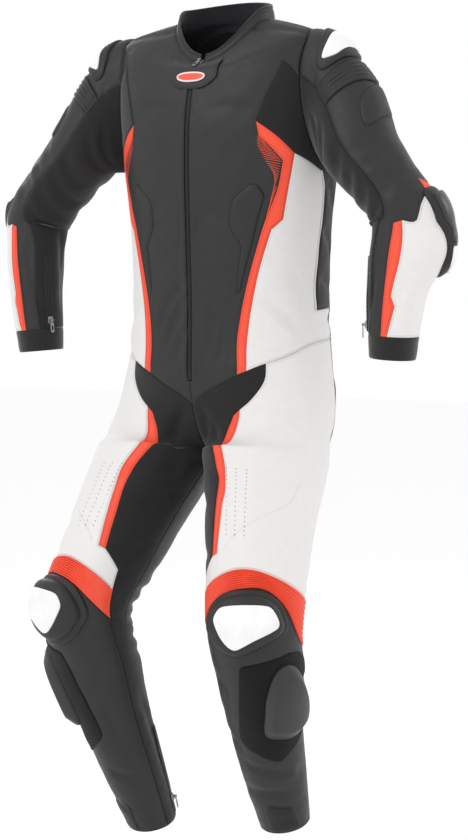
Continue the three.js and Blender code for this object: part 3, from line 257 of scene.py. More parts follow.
def sleeve_ring(turn: Array, along: Array) -> tuple[Array, Array, Array]:
    """A point of the sleeve's ring, an ellipse square to the arm, and the arm's and the outward direction."""
    centre = lambda at: np.stack([SLEEVE.at(k, at) for k in ("x", "y", "z")], axis=-1)
    axis = unit(centre(along + 1) - centre(along - 1))
    out = np.stack([SLEEVE.at(k, along) for k in ("out_x", "out_y", "out_z")], axis=-1)
    out = unit(out - (out * axis).sum(-1, keepdims=True) * axis)
    front = unit(np.cross(out, axis))
    front = np.where(front[..., 1:2] > 0, -front, front)
    angle = 2 * np.pi * turn[..., None]
    reach = SLEEVE.at("out", along)[..., None] * np.cos(angle) * out
    return centre(along) + reach + SLEEVE.at("front", along)[..., None] * np.sin(angle) * front, axis, out


class Chart:
    """A surface that pattern points lie on: across in its own units, along in millimetres."""

    width = 450.0
    lowest, highest = HEM, NECK
    sign = 1

    def place(self, p: Array) -> Array:
        """The points in space of pattern points."""
        raise NotImplementedError

    def slopes(self, p: Array) -> tuple[Array, Array]:
        """How a point moves for one unit across and for one millimetre along."""
        nudge = 0.002
        a = np.array([nudge, 0])
        low, high = p.copy(), p.copy()
        low[:, 1] = np.maximum(p[:, 1] - self.width * nudge, self.lowest)
        high[:, 1] = np.minimum(p[:, 1] + self.width * nudge, self.highest)
        across = (self.place(p + a) - self.place(p - a)) / (2 * nudge)
        return across, (self.place(high) - self.place(low)) / (high[:, 1] - low[:, 1])[:, None]

    def normal(self, p: Array) -> Array:
        """The outward direction at pattern points."""
        across, along = self.slopes(p)
        return self.sign * unit(np.cross(across, along))

    def moved(self, p: Array, step: Array) -> Array:
        """The pattern points after a step in space along the surface."""
        across, along = self.slopes(p)
        aa, ab, bb = (across * across).sum(1), (across * along).sum(1), (along * along).sum(1)
        u, v = (step * across).sum(1), (step * along).sum(1)
        scale = np.maximum(aa * bb - ab * ab, 1e-6)
        return p + np.stack([(u * bb - v * ab) / scale, (v * aa - u * ab) / scale], axis=-1)


class BodyChart(Chart):
    """Torso and leg as one surface: below the waist each torso half closes round into its leg."""

    def __init__(self, side: Side) -> None:
        """Takes the side that the chart lies on."""
        self.sign = side.value

    def place(self, p: Array) -> Array:
        """The torso half, blended into the leg's ellipse between the two heights."""
        s, height = p[:, 0], p[:, 1]
        share = np.clip((SPLIT_TOP - height) / (SPLIT_TOP - CROTCH), 0, 1)
        leg = 1 - np.cos(share * np.pi / 2)
        held = np.clip(height, CROTCH, SPLIT_TOP)
        dip = SPLIT_TOP - (SPLIT_TOP - CROTCH) * np.sin(share * np.pi / 2) - held
        point = torso_point(s, height) * (1 - leg)[:, None] + leg_point(s, height) * leg[:, None]
        point[:, 2] += dip * np.cos(np.pi * s) ** 2
        if self.sign == Side.LEFT.value:
            below = np.minimum(point[:, 2] - KNEE_HEIGHT, 0)
            point[:, 2] += below * (LEFT_SHIN_LIFT - 1)
        point[:, 0] *= self.sign
        return point


class SleeveChart(Chart):
    """The sleeve: turn 0 is its top and outer side, 0.25 the front, 0.5 the inner side, 0.75 the back."""

    width = 330.0
    lowest, highest = 0.0, WRIST

    def __init__(self, side: Side) -> None:
        """Takes the side that the chart lies on."""
        self.sign = side.value

    def place(self, p: Array) -> Array:
        """Rings along the arm, a cubic from the armhole to the first ring, and the outer side's fullness."""
        turn, along = p[:, 0], p[:, 1]
        point, _, out = sleeve_ring(turn, np.maximum(along, CAP_END))
        cap = along < CAP_END
        if cap.any():
            start = BodyChart(Side.RIGHT).place(armhole_at(turn[cap])) * np.array([-1, 1, 1])
            end, axis, _ = sleeve_ring(turn[cap], np.full(cap.sum(), CAP_END))
            cos = np.cos(2 * np.pi * turn[cap])[:, None]
            outer = np.where(cos > 0, np.array(CAP_TOP, float), np.array(CAP_LOW, float))
            leave = np.array(CAP_MIDDLE) * (1 - np.abs(cos)) + outer * np.abs(cos)
            arrive = axis * np.linalg.norm(end - start, axis=1, keepdims=True) * CAP_PULL
            point[cap] = hermite(along[cap][:, None] / CAP_END, start, leave, end, arrive)
        own = Side(self.sign)
        full = sum(height[own] * np.exp(-((along - middle) / reach) ** 2)
                   for middle, reach, height in FULLNESS)
        point += out * (full * np.maximum(np.cos(2 * np.pi * turn), 0))[:, None]
        point[:, 0] *= self.sign
        return point


def halved(across: Array) -> tuple[Array, Array]:
    """Places round the whole body as places on one half, and each half's sign."""
    return np.where(across <= 1, across, 2 - across), np.where(across <= 1, 1.0, -1.0)


class BackChart(Chart):
    """The whole torso as one surface: across 0 to 1 is its left half, 1 to 2 its right half."""

    def place(self, p: Array) -> Array:
        """The body's half, mirrored past the back centre."""
        s, sign = halved(p[:, 0])
        point = BodyChart(Side.LEFT).place(np.stack([s, p[:, 1]], axis=-1))
        point[:, 0] *= sign
        return point


class CollarChart(Chart):
    """The collar on the neck edge: across as on the back, along 0 at the neck seam to 1 at the rim."""

    width = 260.0
    lowest, highest = 0.0, 1.0
    front_height, back_height, lean = 12.0, 28.0, 5.0

    def place(self, p: Array) -> Array:
        """The neck edge, raised by the collar's height there and leaned inwards."""
        s, _ = halved(p[:, 0])
        base = BackChart().place(np.stack([p[:, 0], np.full(len(p), NECK)], axis=-1))
        inward = np.array([0, TORSO.at("y", np.array(NECK)), 0]) - base
        inward[:, 2] = 0
        height = self.back_height - (self.back_height - self.front_height) * np.cos(np.pi * s / 2) ** 2
        point = base + unit(inward) * self.lean * p[:, 1:2]
        point[:, 2] += height * p[:, 1]
        return point

    def slopes(self, p: Array) -> tuple[Array, Array]:
        """As on any chart, with a small step along the collar's rise."""
        a, b = np.array([0.002, 0]), np.array([0, 0.05])
        return (self.place(p + a) - self.place(p - a)) / 0.004, (self.place(p + b) - self.place(p - b)) / 0.1


def zip_across(x: Array, height: Array) -> Array:
    """The place across the body chart that lies x millimetres from the mid-plane."""
    power = TORSO.at("square", height) / 2
    return np.arcsin((np.abs(x) / TORSO.at("half", height)) ** power) / np.pi


class ChestChart(Chart):
    """The chest about the zip, by the distance from the mid-plane and the height."""

    width = 1.0

    def place(self, p: Array) -> Array:
        """The body at that distance from the mid-plane."""
        s = zip_across(p[:, 0], p[:, 1])
        point = BodyChart(Side.RIGHT).place(np.stack([s, p[:, 1]], axis=-1))
        point[:, 0] = p[:, 0]
        return point

    def slopes(self, p: Array) -> tuple[Array, Array]:
        """As on any chart, with steps of a few millimetres."""
        a = np.array([3.0, 0])
        high, low = p.copy(), p - np.array([0, 1.0])
        high[:, 1] = np.minimum(p[:, 1] + 1, NECK)
        along = (self.place(high) - self.place(low)) / (high[:, 1] - low[:, 1])[:, None]
        return (self.place(p + a) - self.place(p - a)) / 6.0, along


BODY = {side: BodyChart(side) for side in Side}
ARM = {side: SleeveChart(side) for side in Side}
BACK, COLLAR, CHEST = BackChart(), CollarChart(), ChestChart()


# Patterns: seams and loops

CORNER = "corner"
SEAM_STEP = 6.0


def seam(points: Points, width: float = 450.0, step: float = SEAM_STEP) -> Array:
    """A seam through its points, smooth but for its corners.

    Args:
        points: Pattern points; a third entry CORNER makes a sharp turn there.
        width: Millimetres for one unit across.
        step: The seam's spacing in millimetres.

    Returns:
        Points about the step apart, one cubic span between each two given points.
    """
    flat = np.array([p[:2] for p in points], float)
    scale = np.array([width, 1.0])
    lengths = np.linalg.norm(np.diff(flat, axis=0) * scale, axis=1)
    result = []
    for i, length in enumerate(lengths):
        chord = flat[i + 1] - flat[i]
        ends = []
        for k in (i, i + 1):
            free = 0 < k < len(flat) - 1 and len(points[k]) < 3
            m = (flat[k + 1] - flat[k - 1]) / 2 if free else chord
            ends.append(m * min(1.0, length / max(np.linalg.norm(m * scale), 1e-6)))
        t = np.arange(max(1, round(length / step)))[:, None] / max(1, round(length / step))
        result.append(hermite(t, flat[i], ends[0], flat[i + 1], ends[1]))
    return np.concatenate([*result, flat[-1:]])


def straight(points: Points, width: float = 450.0) -> Array:
    """A seam of straight stretches between its points."""
    return seam([(*p[:2], CORNER) for p in points], width)


def evenly(points: Array, count: int, width: float = 450.0) -> Array:
    """Points spread evenly along a seam in the flat pattern."""
    lengths = np.concatenate([[0], np.cumsum(np.linalg.norm(np.diff(points, axis=0) * [width, 1], axis=1))])
    at = np.linspace(0, lengths[-1], count + 1)
    return np.stack([np.interp(at, lengths, points[:, k]) for k in (0, 1)], axis=-1)


def armhole_turns(start: float, end: float) -> Array:
    """Turns round the armhole, finely spaced."""
    return np.linspace(start, end, round(abs(end - start) * 96) + 1)


def armhole_on_body(start: float, end: float) -> Array:
    """The armhole between two turns, on the body."""
    return armhole_at(armhole_turns(start, end))


def armhole_on_sleeve(start: float, end: float) -> Array:
    """The armhole between two turns, on the sleeve."""
    turns = armhole_turns(start, end)
    return np.stack([turns, np.zeros(len(turns))], axis=-1)


def zip_edge(height: float) -> tuple[float, float]:
    """The front's edge beside the zip."""
    return float(zip_across(np.array(ZIP_HALF), np.array(height))), height


def loop_of(*seams: Array) -> Array:
    """Joins seams end to end into one closed loop, turning each as needed.

    Args:
        seams: The seams in order round the panel.

    Returns:
        The loop's points, the first not repeated.
    """
    same = lambda p, q: abs(p[0] - q[0]) < 1e-5 and abs(p[1] - q[1]) < 1e-3
    first = seams[0]
    if not (same(seams[1][0], first[-1]) or same(seams[1][-1], first[-1])):
        first = first[::-1]
    parts = [first[:-1]]
    end = first[-1]
    for part in seams[1:]:
        part = part if same(part[0], end) else part[::-1]
        if not same(part[0], end):
            raise ValueError(f"seams do not meet at {end} and {part[0]}")
        parts.append(part[:-1])
        end = part[-1]
    return np.concatenate(parts)


def turned(points: Array, turns: float = 1.0) -> Array:
    """A seam moved by whole turns, so that a panel may run across the inseam."""
    return points + np.array([turns, 0.0])


BACK_SEAM = 0.6
KNEE_TOP = ((0.085, -914), (0.165, -898), (0.265, -883), (0.33, -880), (0.41, -884), (0.52, -893),
            (BACK_SEAM, -900))
KNEE_LOW = ((0.068, -952), (0.13, -934), (0.208, -915), (0.28, -905), (0.37, -901), (0.45, -920),
            (0.53, -962),
            (BACK_SEAM, -990))


def body_seams() -> dict[str, Array]:
    """The body's seams, each cut once and used by the panels on both of its sides."""
    neck_zip, shoulder_neck, zip_end = zip_edge(NECK), (0.5, NECK), zip_edge(-562)
    stripe_top, white_top, white_rear = (0.19, -158), (0.34, -212), (0.472, -238)
    mesh_corner, mesh_rear, hip_rear = (0.468, -460), (BACK_SEAM, -456), (BACK_SEAM, -505)
    front_end, stripe_in, stripe_out, hip_front = (0, -588), (0.142, -556), (0.172, -552), (0.24, -543)
    thigh_out, thigh_in, thigh_low_in, thigh_low_out = (
        (0.16, -597), (0.142, -604), (0.165, -865), (0.19, -862))
    knee_in, hem_in, hem_out, crotch = (0, -962), (0.045, HEM), (BACK_SEAM, HEM), (0, CROTCH)
    armhole = lambda turn: tuple(armhole_at(np.array([turn]))[0])
    return {
        "neck_front": straight([neck_zip, shoulder_neck], 1500),
        "neck_back": straight([shoulder_neck, (1, NECK)], 1500),
        "shoulder": straight([shoulder_neck, (0.5, -4), armhole(0)]),
        "zip": seam([neck_zip, *map(zip_edge, (-60, -130, -200, -280, -360, -440, -520)), zip_end]),
        "front_yoke": seam([(0.28, -48), armhole(TURN_FRONT)]),
        "front_edge": seam([(0.28, -48, CORNER), (0.222, -104), stripe_top]),
        "stripe_inner": seam([stripe_top, (0.203, -184, CORNER), (0.295, -224, CORNER), (0.282, -268),
                              (0.242, -320), (0.215, -362), (0.185, -412), (0.163, -456), (0.145, -510),
                              stripe_in]),
        "stripe_outer": seam([white_top, (0.326, -260), (0.31, -316, CORNER), (0.267, -332, CORNER),
                              (0.225, -394), (0.195, -456), (0.178, -510), stripe_out]),
        "stripe_top": seam([stripe_top, (0.265, -184), white_top]),
        "white_top": seam([white_top, (0.417, -226), white_rear]),
        "mesh_front": seam([white_rear, (0.49, -262), (0.496, -300), (0.48, -366), (0.463, -418),
                            mesh_corner]),
        "mesh_low": seam([mesh_corner, mesh_rear]),
        "back_upper": seam([armhole(TURN_SIDE), (0.605, -270), (0.605, -340), (0.6, -400), mesh_rear]),
        "back_lower": seam([mesh_rear, hip_rear]),
        "hip": seam([hip_front, (0.33, -530), (0.448, -512), hip_rear]),
        "waist_back": seam([hip_rear, (0.8, -496), (1, -492)]),
        "front_foot": straight([zip_end, (0, -563), front_end]),
        "front_low": seam([front_end, (0.03, -577), stripe_in]),
        "stripe_low": seam([stripe_in, stripe_out]),
        "white_low": seam([stripe_out, hip_front]),
        "centre_front": seam([front_end, (0, -622), (0, -656), crotch]),
        "centre_back": seam([(1, -492), (1, -540), (1, -590), (1, -640), (1, CROTCH)]),
        "crotch_edge": seam([hip_front, (0.233, -564), (0.195, -585), thigh_out]),
        "thigh_top": seam([thigh_out, thigh_in]),
        "thigh_inner": seam([thigh_in, (0.137, -626), (0.155, -665), (0.185, -710), (0.195, -760),
                             (0.18, -815),
                             thigh_low_in]),
        "thigh_outer": seam([thigh_out, (0.175, -636), (0.205, -680), (0.226, -740), (0.212, -800),
                             thigh_low_out]),
        "thigh_end": seam([thigh_low_in, thigh_low_out]),
        "white_tongue": seam([thigh_low_in, (0.098, -888, CORNER), KNEE_TOP[0]]),
        "knee_top": seam(KNEE_TOP),
        "knee_low": seam(KNEE_LOW),
        "knee_inner": seam([KNEE_TOP[0], KNEE_LOW[0]]),
        "knee_outer": seam([KNEE_TOP[-1], KNEE_LOW[-1]]),
        "thigh_rear": seam([hip_rear, (BACK_SEAM, -600), (BACK_SEAM, -700), (BACK_SEAM, -800), KNEE_TOP[-1]]),
        "inseam": seam([crotch, (0, -780), (0, -870), knee_in]),
        "calf_in": seam([KNEE_LOW[0], knee_in]),
        "knee_pit": seam([(1, -962), (0.8, -980), KNEE_LOW[-1]]),
        "shin_in": seam([KNEE_LOW[0], (0.055, -1010), (0.05, -1100), (0.047, -1200), hem_in]),
        "shin_out": seam([KNEE_LOW[-1], (BACK_SEAM, -1100), (BACK_SEAM, -1200), hem_out]),
        "hem_shin": seam([hem_in, hem_out], 280),
        "hem_calf": seam([hem_out, (1 + hem_in[0], HEM)], 280),
    }


def arm_seams() -> dict[str, Array]:
    """The sleeve's seams."""
    rib_front, rib_front_low, rib_back, rib_back_low = (0.215, 46), (0.224, 74), (-0.25, 46), (-0.25, 74)
    elbow_back, stripe_top_in, stripe_top_out = (-0.25, 236), (0.258, 268), (0.222, 262)
    stripe_low_in, stripe_low_out = (0.268, CUFF_TOP), (0.225, CUFF_TOP)
    cuff_front, cuff_back = (0.37, CUFF_TOP), (-0.25, CUFF_TOP)
    sew = lambda points: seam(points, 330)
    return {
        "cap_front": sew([(TURN_FRONT, 0), rib_front]),
        "cap_back": sew([(-0.25, 0), rib_back]),
        "rib_top": sew([rib_front, (0.11, 64), (0, 76), (-0.12, 66), rib_back]),
        "rib_low": sew([rib_front_low, (0.11, 90), (0, 101), (-0.12, 92), rib_back_low]),
        "rib_front": sew([rib_front, rib_front_low]),
        "rib_back": sew([rib_back, rib_back_low]),
        "leather_front": sew([rib_front_low, (0.24, 120), (0.256, 165), (0.252, 208), (0.285, 236),
                              (0.34, 266),
                              (0.372, 310), (0.366, 375), cuff_front]),
        "upper_back": sew([rib_back_low, (-0.25, 130), (-0.25, 185), elbow_back]),
        "elbow": sew([stripe_top_out, (0.175, 264), (0.13, 250), (0.06, 240), (-0.02, 230), (-0.14, 230),
                      elbow_back]),
        "stripe_top": sew([stripe_top_in, stripe_top_out]),
        "stripe_inner": sew([stripe_top_in, (0.262, 320), (0.266, 380), stripe_low_in]),
        "stripe_outer": sew([stripe_top_out, (0.214, 330), (0.222, 378, CORNER), (0.195, 392, CORNER),
                             stripe_low_out]),
        "white_back": sew([elbow_back, (-0.25, 300), (-0.25, 370), cuff_back]),
        "cuff_white": sew([stripe_low_out, (0.1, CUFF_TOP), (-0.02, CUFF_TOP), (-0.14, CUFF_TOP), cuff_back]),
        "cuff_stripe": sew([stripe_low_in, stripe_low_out]),
        "cuff_leather": sew([cuff_front, stripe_low_in]),
        "cuff_stretch": sew([cuff_front, (0.5, CUFF_TOP), (0.62, CUFF_TOP), (0.75, CUFF_TOP)]),
    }


S = body_seams()
T = arm_seams()


# Patterns: cutting a panel


def inside(points: Array, loop: Array) -> Array:
    """Whether each flat point lies within a closed loop, by the edges that a ray to its right crosses."""
    x1, y1 = loop[:, 0], loop[:, 1]
    x2, y2 = np.roll(x1, -1), np.roll(y1, -1)
    x, y = points[:, :1], points[:, 1:2]
    with np.errstate(divide="ignore", invalid="ignore"):
        cross = x < x1 + (y - y1) / (y2 - y1) * (x2 - x1)
    return (((y1 > y) != (y2 > y)) & cross).sum(1) % 2 == 1


def distance(points: Array, line: Array, closed: bool = False, block: int = 1500) -> Array:
    """The distance from each point to a line of straight stretches, worked out in blocks."""
    starts = line if closed else line[:-1]
    spans = (np.roll(line, -1, axis=0) if closed else line[1:])[: len(starts)] - starts
    sizes = np.maximum((spans * spans).sum(1), 1e-12)
    result = []
    for i in range(0, len(points), block):
        away = points[i:i + block, None] - starts[None]
        t = np.clip((away * spans).sum(-1) / sizes, 0, 1)
        result.append(np.linalg.norm(away - t[..., None] * spans, axis=-1).min(1))
    return np.concatenate(result) if result else np.zeros(0)


@dataclass(frozen=True)
class Pattern:
    """A cut panel.

    Attributes:
        points: Pattern points, the border's first and in order.
        triangles: Counter-clockwise in the flat pattern.
        border: How many points the border has.
        edge: Each point's distance from the border, in millimetres.
    """

    points: Array
    triangles: Array
    border: int
    edge: Array


RINGS = (0.9, 2.2, 4.6)
LINE_ROWS = (0.0, -1.4, 1.4, -4.0, 4.0)


def offset_line(chart: Chart, line: Array, reach: float, closed: bool = False) -> Array:
    """A line moved sideways along the surface, to its left for a positive reach."""
    places = chart.place(line)
    if closed:
        along = np.roll(places, -1, axis=0) - np.roll(places, 1, axis=0)
    else:
        along = np.gradient(places, axis=0)
    sideways = unit(np.cross(chart.normal(line), along)) * chart.sign
    return chart.moved(line, sideways * reach)


def cut(chart: Chart, loop: Array, lines: Sequence[Array] = (), step: float = 6.5) -> Pattern:
    """Cuts a panel: its border, rings of points inside it, rows along its lines, and a grid between them.

    Args:
        chart: The surface on the left side, or on both.
        loop: The border, in pattern points.
        lines: Stitched or moulded lines that get rows of points.
        step: The grid's spacing in millimetres.

    Returns:
        The cut pattern.
    """
    scale = np.array([chart.width, 1.0])
    flat = loop * scale
    if (flat[:, 0] * np.roll(flat[:, 1], -1) - np.roll(flat[:, 0], -1) * flat[:, 1]).sum() < 0:
        loop, flat = loop[::-1], flat[::-1]
    places = chart.place(loop)
    border = offset_line(chart, loop, SEAM_GAP / 2, True)
    away = lambda p: distance(chart.place(p), places, True)
    found = [border]
    for reach in RINGS:
        ring = offset_line(chart, loop, reach, True)
        ring = ring[inside(ring * scale, flat)]
        found.append(ring[away(ring) > reach * 0.86])
    line_places = [chart.place(line) for line in lines]
    for line in lines:
        rows = np.concatenate([offset_line(chart, line, reach) for reach in LINE_ROWS])
        rows = rows[inside(rows * scale, flat)]
        found.append(rows[away(rows) > RINGS[-1] + 1.5])
    across, along = chart.slopes(loop)
    pitch = step / np.array([np.linalg.norm(across, axis=1).mean() / chart.width,
                             np.linalg.norm(along, axis=1).mean()])
    low, high = flat.min(0), flat.max(0)
    rows = np.arange(low[1] + pitch[1] / 2, high[1], pitch[1] * 0.866)
    cols = np.arange(low[0] - pitch[0] / 2, high[0], pitch[0])
    grid = np.stack(np.meshgrid(cols, rows), axis=-1)
    grid[1::2, :, 0] += pitch[0] / 2
    grid = grid.reshape(-1, 2)
    grid = grid[inside(grid, flat)] / scale
    grid = grid[away(grid) > RINGS[-1] + step * 0.55]
    for line in line_places:
        grid = grid[distance(chart.place(grid), line) > LINE_ROWS[-1] + step * 0.45]
    points = np.concatenate([*found, grid])
    jitter = 1e-3 * np.sin(np.arange(len(points)) * 12.9898)
    spots = points * scale
    spots[len(border):, 0] += jitter[len(border):]
    count = len(border)
    edges = [(i, (i + 1) % count) for i in range(count)]
    made = delaunay_2d_cdt([Vector(p) for p in spots], edges, [], 1, 1e-7)
    origin = np.array([ids[0] if ids else -1 for ids in made[3]])
    triangles = origin[np.array([f for f in made[2] if len(f) == 3], int)]
    corners = spots[triangles]
    (ax, ay), (bx, by) = (corners[:, 1] - corners[:, 0]).T, (corners[:, 2] - corners[:, 0]).T
    triangles = np.where((ax * by - ay * bx > 0)[:, None], triangles, triangles[:, ::-1])
    triangles = triangles[(triangles >= 0).all(1)]
    edge = np.concatenate([np.zeros(count), away(points[count:])])
    return Pattern(points, triangles, count, edge)


# Relief: how a panel's surface leaves the smooth form


class Relief:
    """A height over the smooth form, in millimetres, at pattern points."""

    def height(self, chart: Chart, p: Array, edge: Array) -> Array:
        """The height at each pattern point, given its distance from the panel's edge."""
        raise NotImplementedError


@dataclass(frozen=True)
class Crease(Relief):
    """A soft trough or ridge along a bowed line that fades at both ends."""

    a0: float
    b0: float
    a1: float
    b1: float
    bow: float
    width: float
    rise: float

    def height(self, chart: Chart, p: Array, edge: Array) -> Array:
        """A bell across the line, of the given width, times a slow rise and fall along it."""
        scale = np.array([chart.width, 1.0])
        start, end = np.array([self.a0, self.b0]) * scale, np.array([self.a1, self.b1]) * scale
        span = end - start
        length = np.linalg.norm(span)
        away = p * scale - start
        t = away @ span / length**2
        off = (away[:, 1] * span[0] - away[:, 0] * span[1]) / length - self.bow * 4 * t * (1 - t)
        fade = smoothstep((t + 0.12) / 0.4) * smoothstep((1.12 - t) / 0.4)
        return self.rise * np.exp(-(off / self.width) ** 2) * fade


@dataclass(frozen=True)
class Stitched(Relief):
    """A line sewn or pressed into the cloth."""

    line: Array
    width: float = 1.6
    depth: float = 0.9

    def height(self, chart: Chart, p: Array, edge: Array) -> Array:
        """A narrow bell-shaped groove along the line."""
        away = distance(chart.place(p), chart.place(self.line))
        return -self.depth * np.exp(-(away / self.width) ** 2)


@dataclass(frozen=True)
class Pad(Relief):
    """A padded area with a pressed edge."""

    outline: Array
    rise: float
    shoulder: float = 7.0
    groove: float = 0.8

    def height(self, chart: Chart, p: Array, edge: Array) -> Array:
        """A rounded step up inside the outline, and a groove on it."""
        away = distance(chart.place(p), chart.place(self.outline), True)
        scale = np.array([chart.width, 1.0])
        within = inside(p * scale, self.outline * scale)
        up = np.where(within, self.rise * np.sqrt(1 - (1 - np.clip(away / self.shoulder, 0, 1)) ** 2), 0)
        return up - self.groove * np.exp(-(away / 1.8) ** 2)


@dataclass(frozen=True)
class Placket(Relief):
    """The folded leather beside the main zip: a rounded lip, a sewn line and a soft step."""

    rise: float = 2.4

    def height(self, chart: Chart, p: Array, edge: Array) -> Array:
        """A round lip from the edge, then two grooves, by the distance from the mid-plane."""
        x = np.abs(chart.place(p)[:, 0])
        above = smoothstep((p[:, 1] + 575) / 30)
        lip = self.rise * np.sqrt(np.clip(1 - ((x - 9.0) / 5.2) ** 2, 0, 1))
        grooves = 0.7 * np.exp(-((x - 14.6) / 1.5) ** 2) + 0.5 * np.exp(-((x - 22.0) / 1.8) ** 2)
        flat = 0.7 * np.exp(-((x - 18.3) / 3.0) ** 2)
        return above * (lip - grooves + flat)


@dataclass(frozen=True)
class Smocking(Relief):
    """Rows of shirred gathers along a seam."""

    a: float
    b0: float
    b1: float
    reach: float = 15.0
    pitch: float = 5.2

    def height(self, chart: Chart, p: Array, edge: Array) -> Array:
        """Puckers along the seam, strongest on it, with a zigzag of short folds."""
        x = (p[:, 0] - self.a) * chart.width - (p[:, 1] - self.b0) * 0.08
        along = smoothstep((self.b0 - p[:, 1]) / 12) * smoothstep((p[:, 1] - self.b1) / 12)
        rows = np.sin(2 * np.pi * (p[:, 1] / self.pitch + 0.35 * np.sin(x / 2.2)))
        return along * np.exp(-(x / self.reach) ** 2) * (0.75 * rows - 0.7 * np.exp(-(x / 2.5) ** 2))


@dataclass(frozen=True)
class Ripples(Relief):
    """The slight unevenness of worn leather, from a few crossed waves."""

    size: float = 0.45

    def height(self, chart: Chart, p: Array, edge: Array) -> Array:
        """Waves of 120, 60 and 30 millimetres in three directions, fading towards the edges."""
        x, y, z = chart.place(p).T
        waves = np.sin(x / 19 + z / 31 + 1.3) * np.sin(y / 23 - z / 17)
        waves += 0.5 * np.sin(x / 11 - z / 9 + y / 14 + 0.7) + 0.25 * np.sin(x / 5.1 + z / 6.3 - y / 4.7)
        return self.size * waves * smoothstep(edge / 14)


def reliefs(chart: Chart, p: Array, edge: Array, parts: Sequence[Relief]) -> Array:
    """The sum of a panel's reliefs."""
    total = np.zeros(len(p))
    for part in parts:
        total += part.height(chart, p, edge)
    return total


TUCK, TUCK_REACH = 1.0, 1.3


def tuck(edge: Array) -> Array:
    """How far a seam's turned edge drops, falling off within a few millimetres."""
    return -TUCK * np.exp(-(edge / TUCK_REACH) ** 2)


# Meshes


@dataclass
class Mesh:
    """Points in millimetres with faces, and what the finishes read from them."""

    points: Array
    faces: list[Array]
    inner: list[bool] = field(default_factory=list)
    edge: Optional[Array] = None
    cloth: Optional[Array] = None

    def __post_init__(self) -> None:
        """Fills in the plain values."""
        count = len(self.points)
        self.inner = self.inner or [False] * len(self.faces)
        self.edge = np.full(count, FAR_FROM_EDGE) if self.edge is None else self.edge
        self.cloth = self.points[:, [0, 2]] if self.cloth is None else self.cloth


def joined(meshes: Sequence[Mesh]) -> Mesh:
    """Several meshes as one."""
    starts = np.cumsum([0, *[len(m.points) for m in meshes]])
    faces, inner = [], []
    for mesh, start in zip(meshes, starts):
        faces += [f + start for f in mesh.faces]
        inner += mesh.inner
    return Mesh(np.concatenate([m.points for m in meshes]), faces, inner,
                np.concatenate([m.edge for m in meshes]), np.concatenate([m.cloth for m in meshes]))


def flipped(faces: Array, flip: bool) -> Array:
    """Faces turned over where asked."""
    return faces[:, ::-1] if flip else faces


def grid_faces(rows: int, cols: int, wrap: bool = False) -> Array:
    """Quads of a grid of points, closing each row on itself where asked."""
    j, i = np.meshgrid(np.arange(rows - 1), np.arange(cols if wrap else cols - 1), indexing="ij")
    k = (i + 1) % cols
    quads = np.stack([j * cols + i, j * cols + k, (j + 1) * cols + k, (j + 1) * cols + i], axis=-1)
    return quads.reshape(-1, 4)


def shell(chart: Chart, pattern: Pattern, thickness: float, parts: Sequence[Relief],
          lift: float = 0.0) -> Mesh:
    """A panel as a closed wall with turned edges.

    Args:
        chart: The surface on the panel's own side.
        pattern: The cut panel.
        thickness: The wall in millimetres.
        parts: What shapes its face.
        lift: How far its underside stands over the form; 0 hangs the wall inward from the form.

    Returns:
        The outer face, the same points moved in by the thickness, and a rim between them.
    """
    p, edge, count = pattern.points, pattern.edge, len(pattern.points)
    places, normals = chart.place(p), chart.normal(p)
    heights = reliefs(chart, p, edge, parts)
    top = heights + tuck(edge) + (lift + thickness if lift else 0)
    under = heights * (1 if lift else 0.9) + (lift if lift else -thickness)
    outer = places + normals * top[:, None]
    inner = places + normals * under[:, None]
    flip = chart.sign < 0
    ring = np.arange(pattern.border)
    after = np.roll(ring, -1)
    rim = np.stack([after, ring, ring + count, after + count], axis=-1)
    faces = [flipped(pattern.triangles, flip), flipped(pattern.triangles[:, ::-1] + count, flip),
             flipped(rim, flip)]
    cloth = p * np.array([chart.width, 1.0])
    return Mesh(np.concatenate([outer, inner]), faces, [False, True, False],
                np.concatenate([edge, edge]), np.concatenate([cloth, cloth]))


def band(chart: Chart, p: Array, lift: Array, wall: float, edge: Array) -> Mesh:
    """A wall over a grid of pattern points.

    Args:
        chart: The surface on the band's own side.
        p: Rows of pattern points.
        lift: The outer face's height at each point.
        wall: How far the plain inner face lies below the form.
        edge: The distance from a fold or seam that the finish reads.

    Returns:
        Both faces, closed at the rim.
    """
    rows, cols = p.shape[:2]
    count = rows * cols
    p = p.reshape(-1, 2)
    places, normals = chart.place(p), chart.normal(p)
    outer, inner = places + normals * lift.reshape(-1, 1), places - normals * wall
    index = np.arange(count).reshape(rows, cols)
    ring = np.concatenate([index[0, :-1], index[:-1, -1], index[-1, :0:-1], index[:0:-1, 0]])
    after = np.roll(ring, -1)
    quads = grid_faces(rows, cols)
    rim = np.stack([after, ring, ring + count, after + count], axis=-1)
    (ax, ay), (bx, by) = (p[1] - p[0]) * [chart.width, 1], (p[cols] - p[0]) * [chart.width, 1]
    flip = (ax * by - ay * bx > 0) != (chart.sign > 0)
    faces = [flipped(quads, flip), flipped(quads[:, ::-1] + count, flip), flipped(rim, flip)]
    flat = p * np.array([chart.width, 1.0])
    return Mesh(np.concatenate([outer, inner]), faces, [False, True, False],
                np.tile(edge.reshape(-1), 2), np.concatenate([flat, flat]))


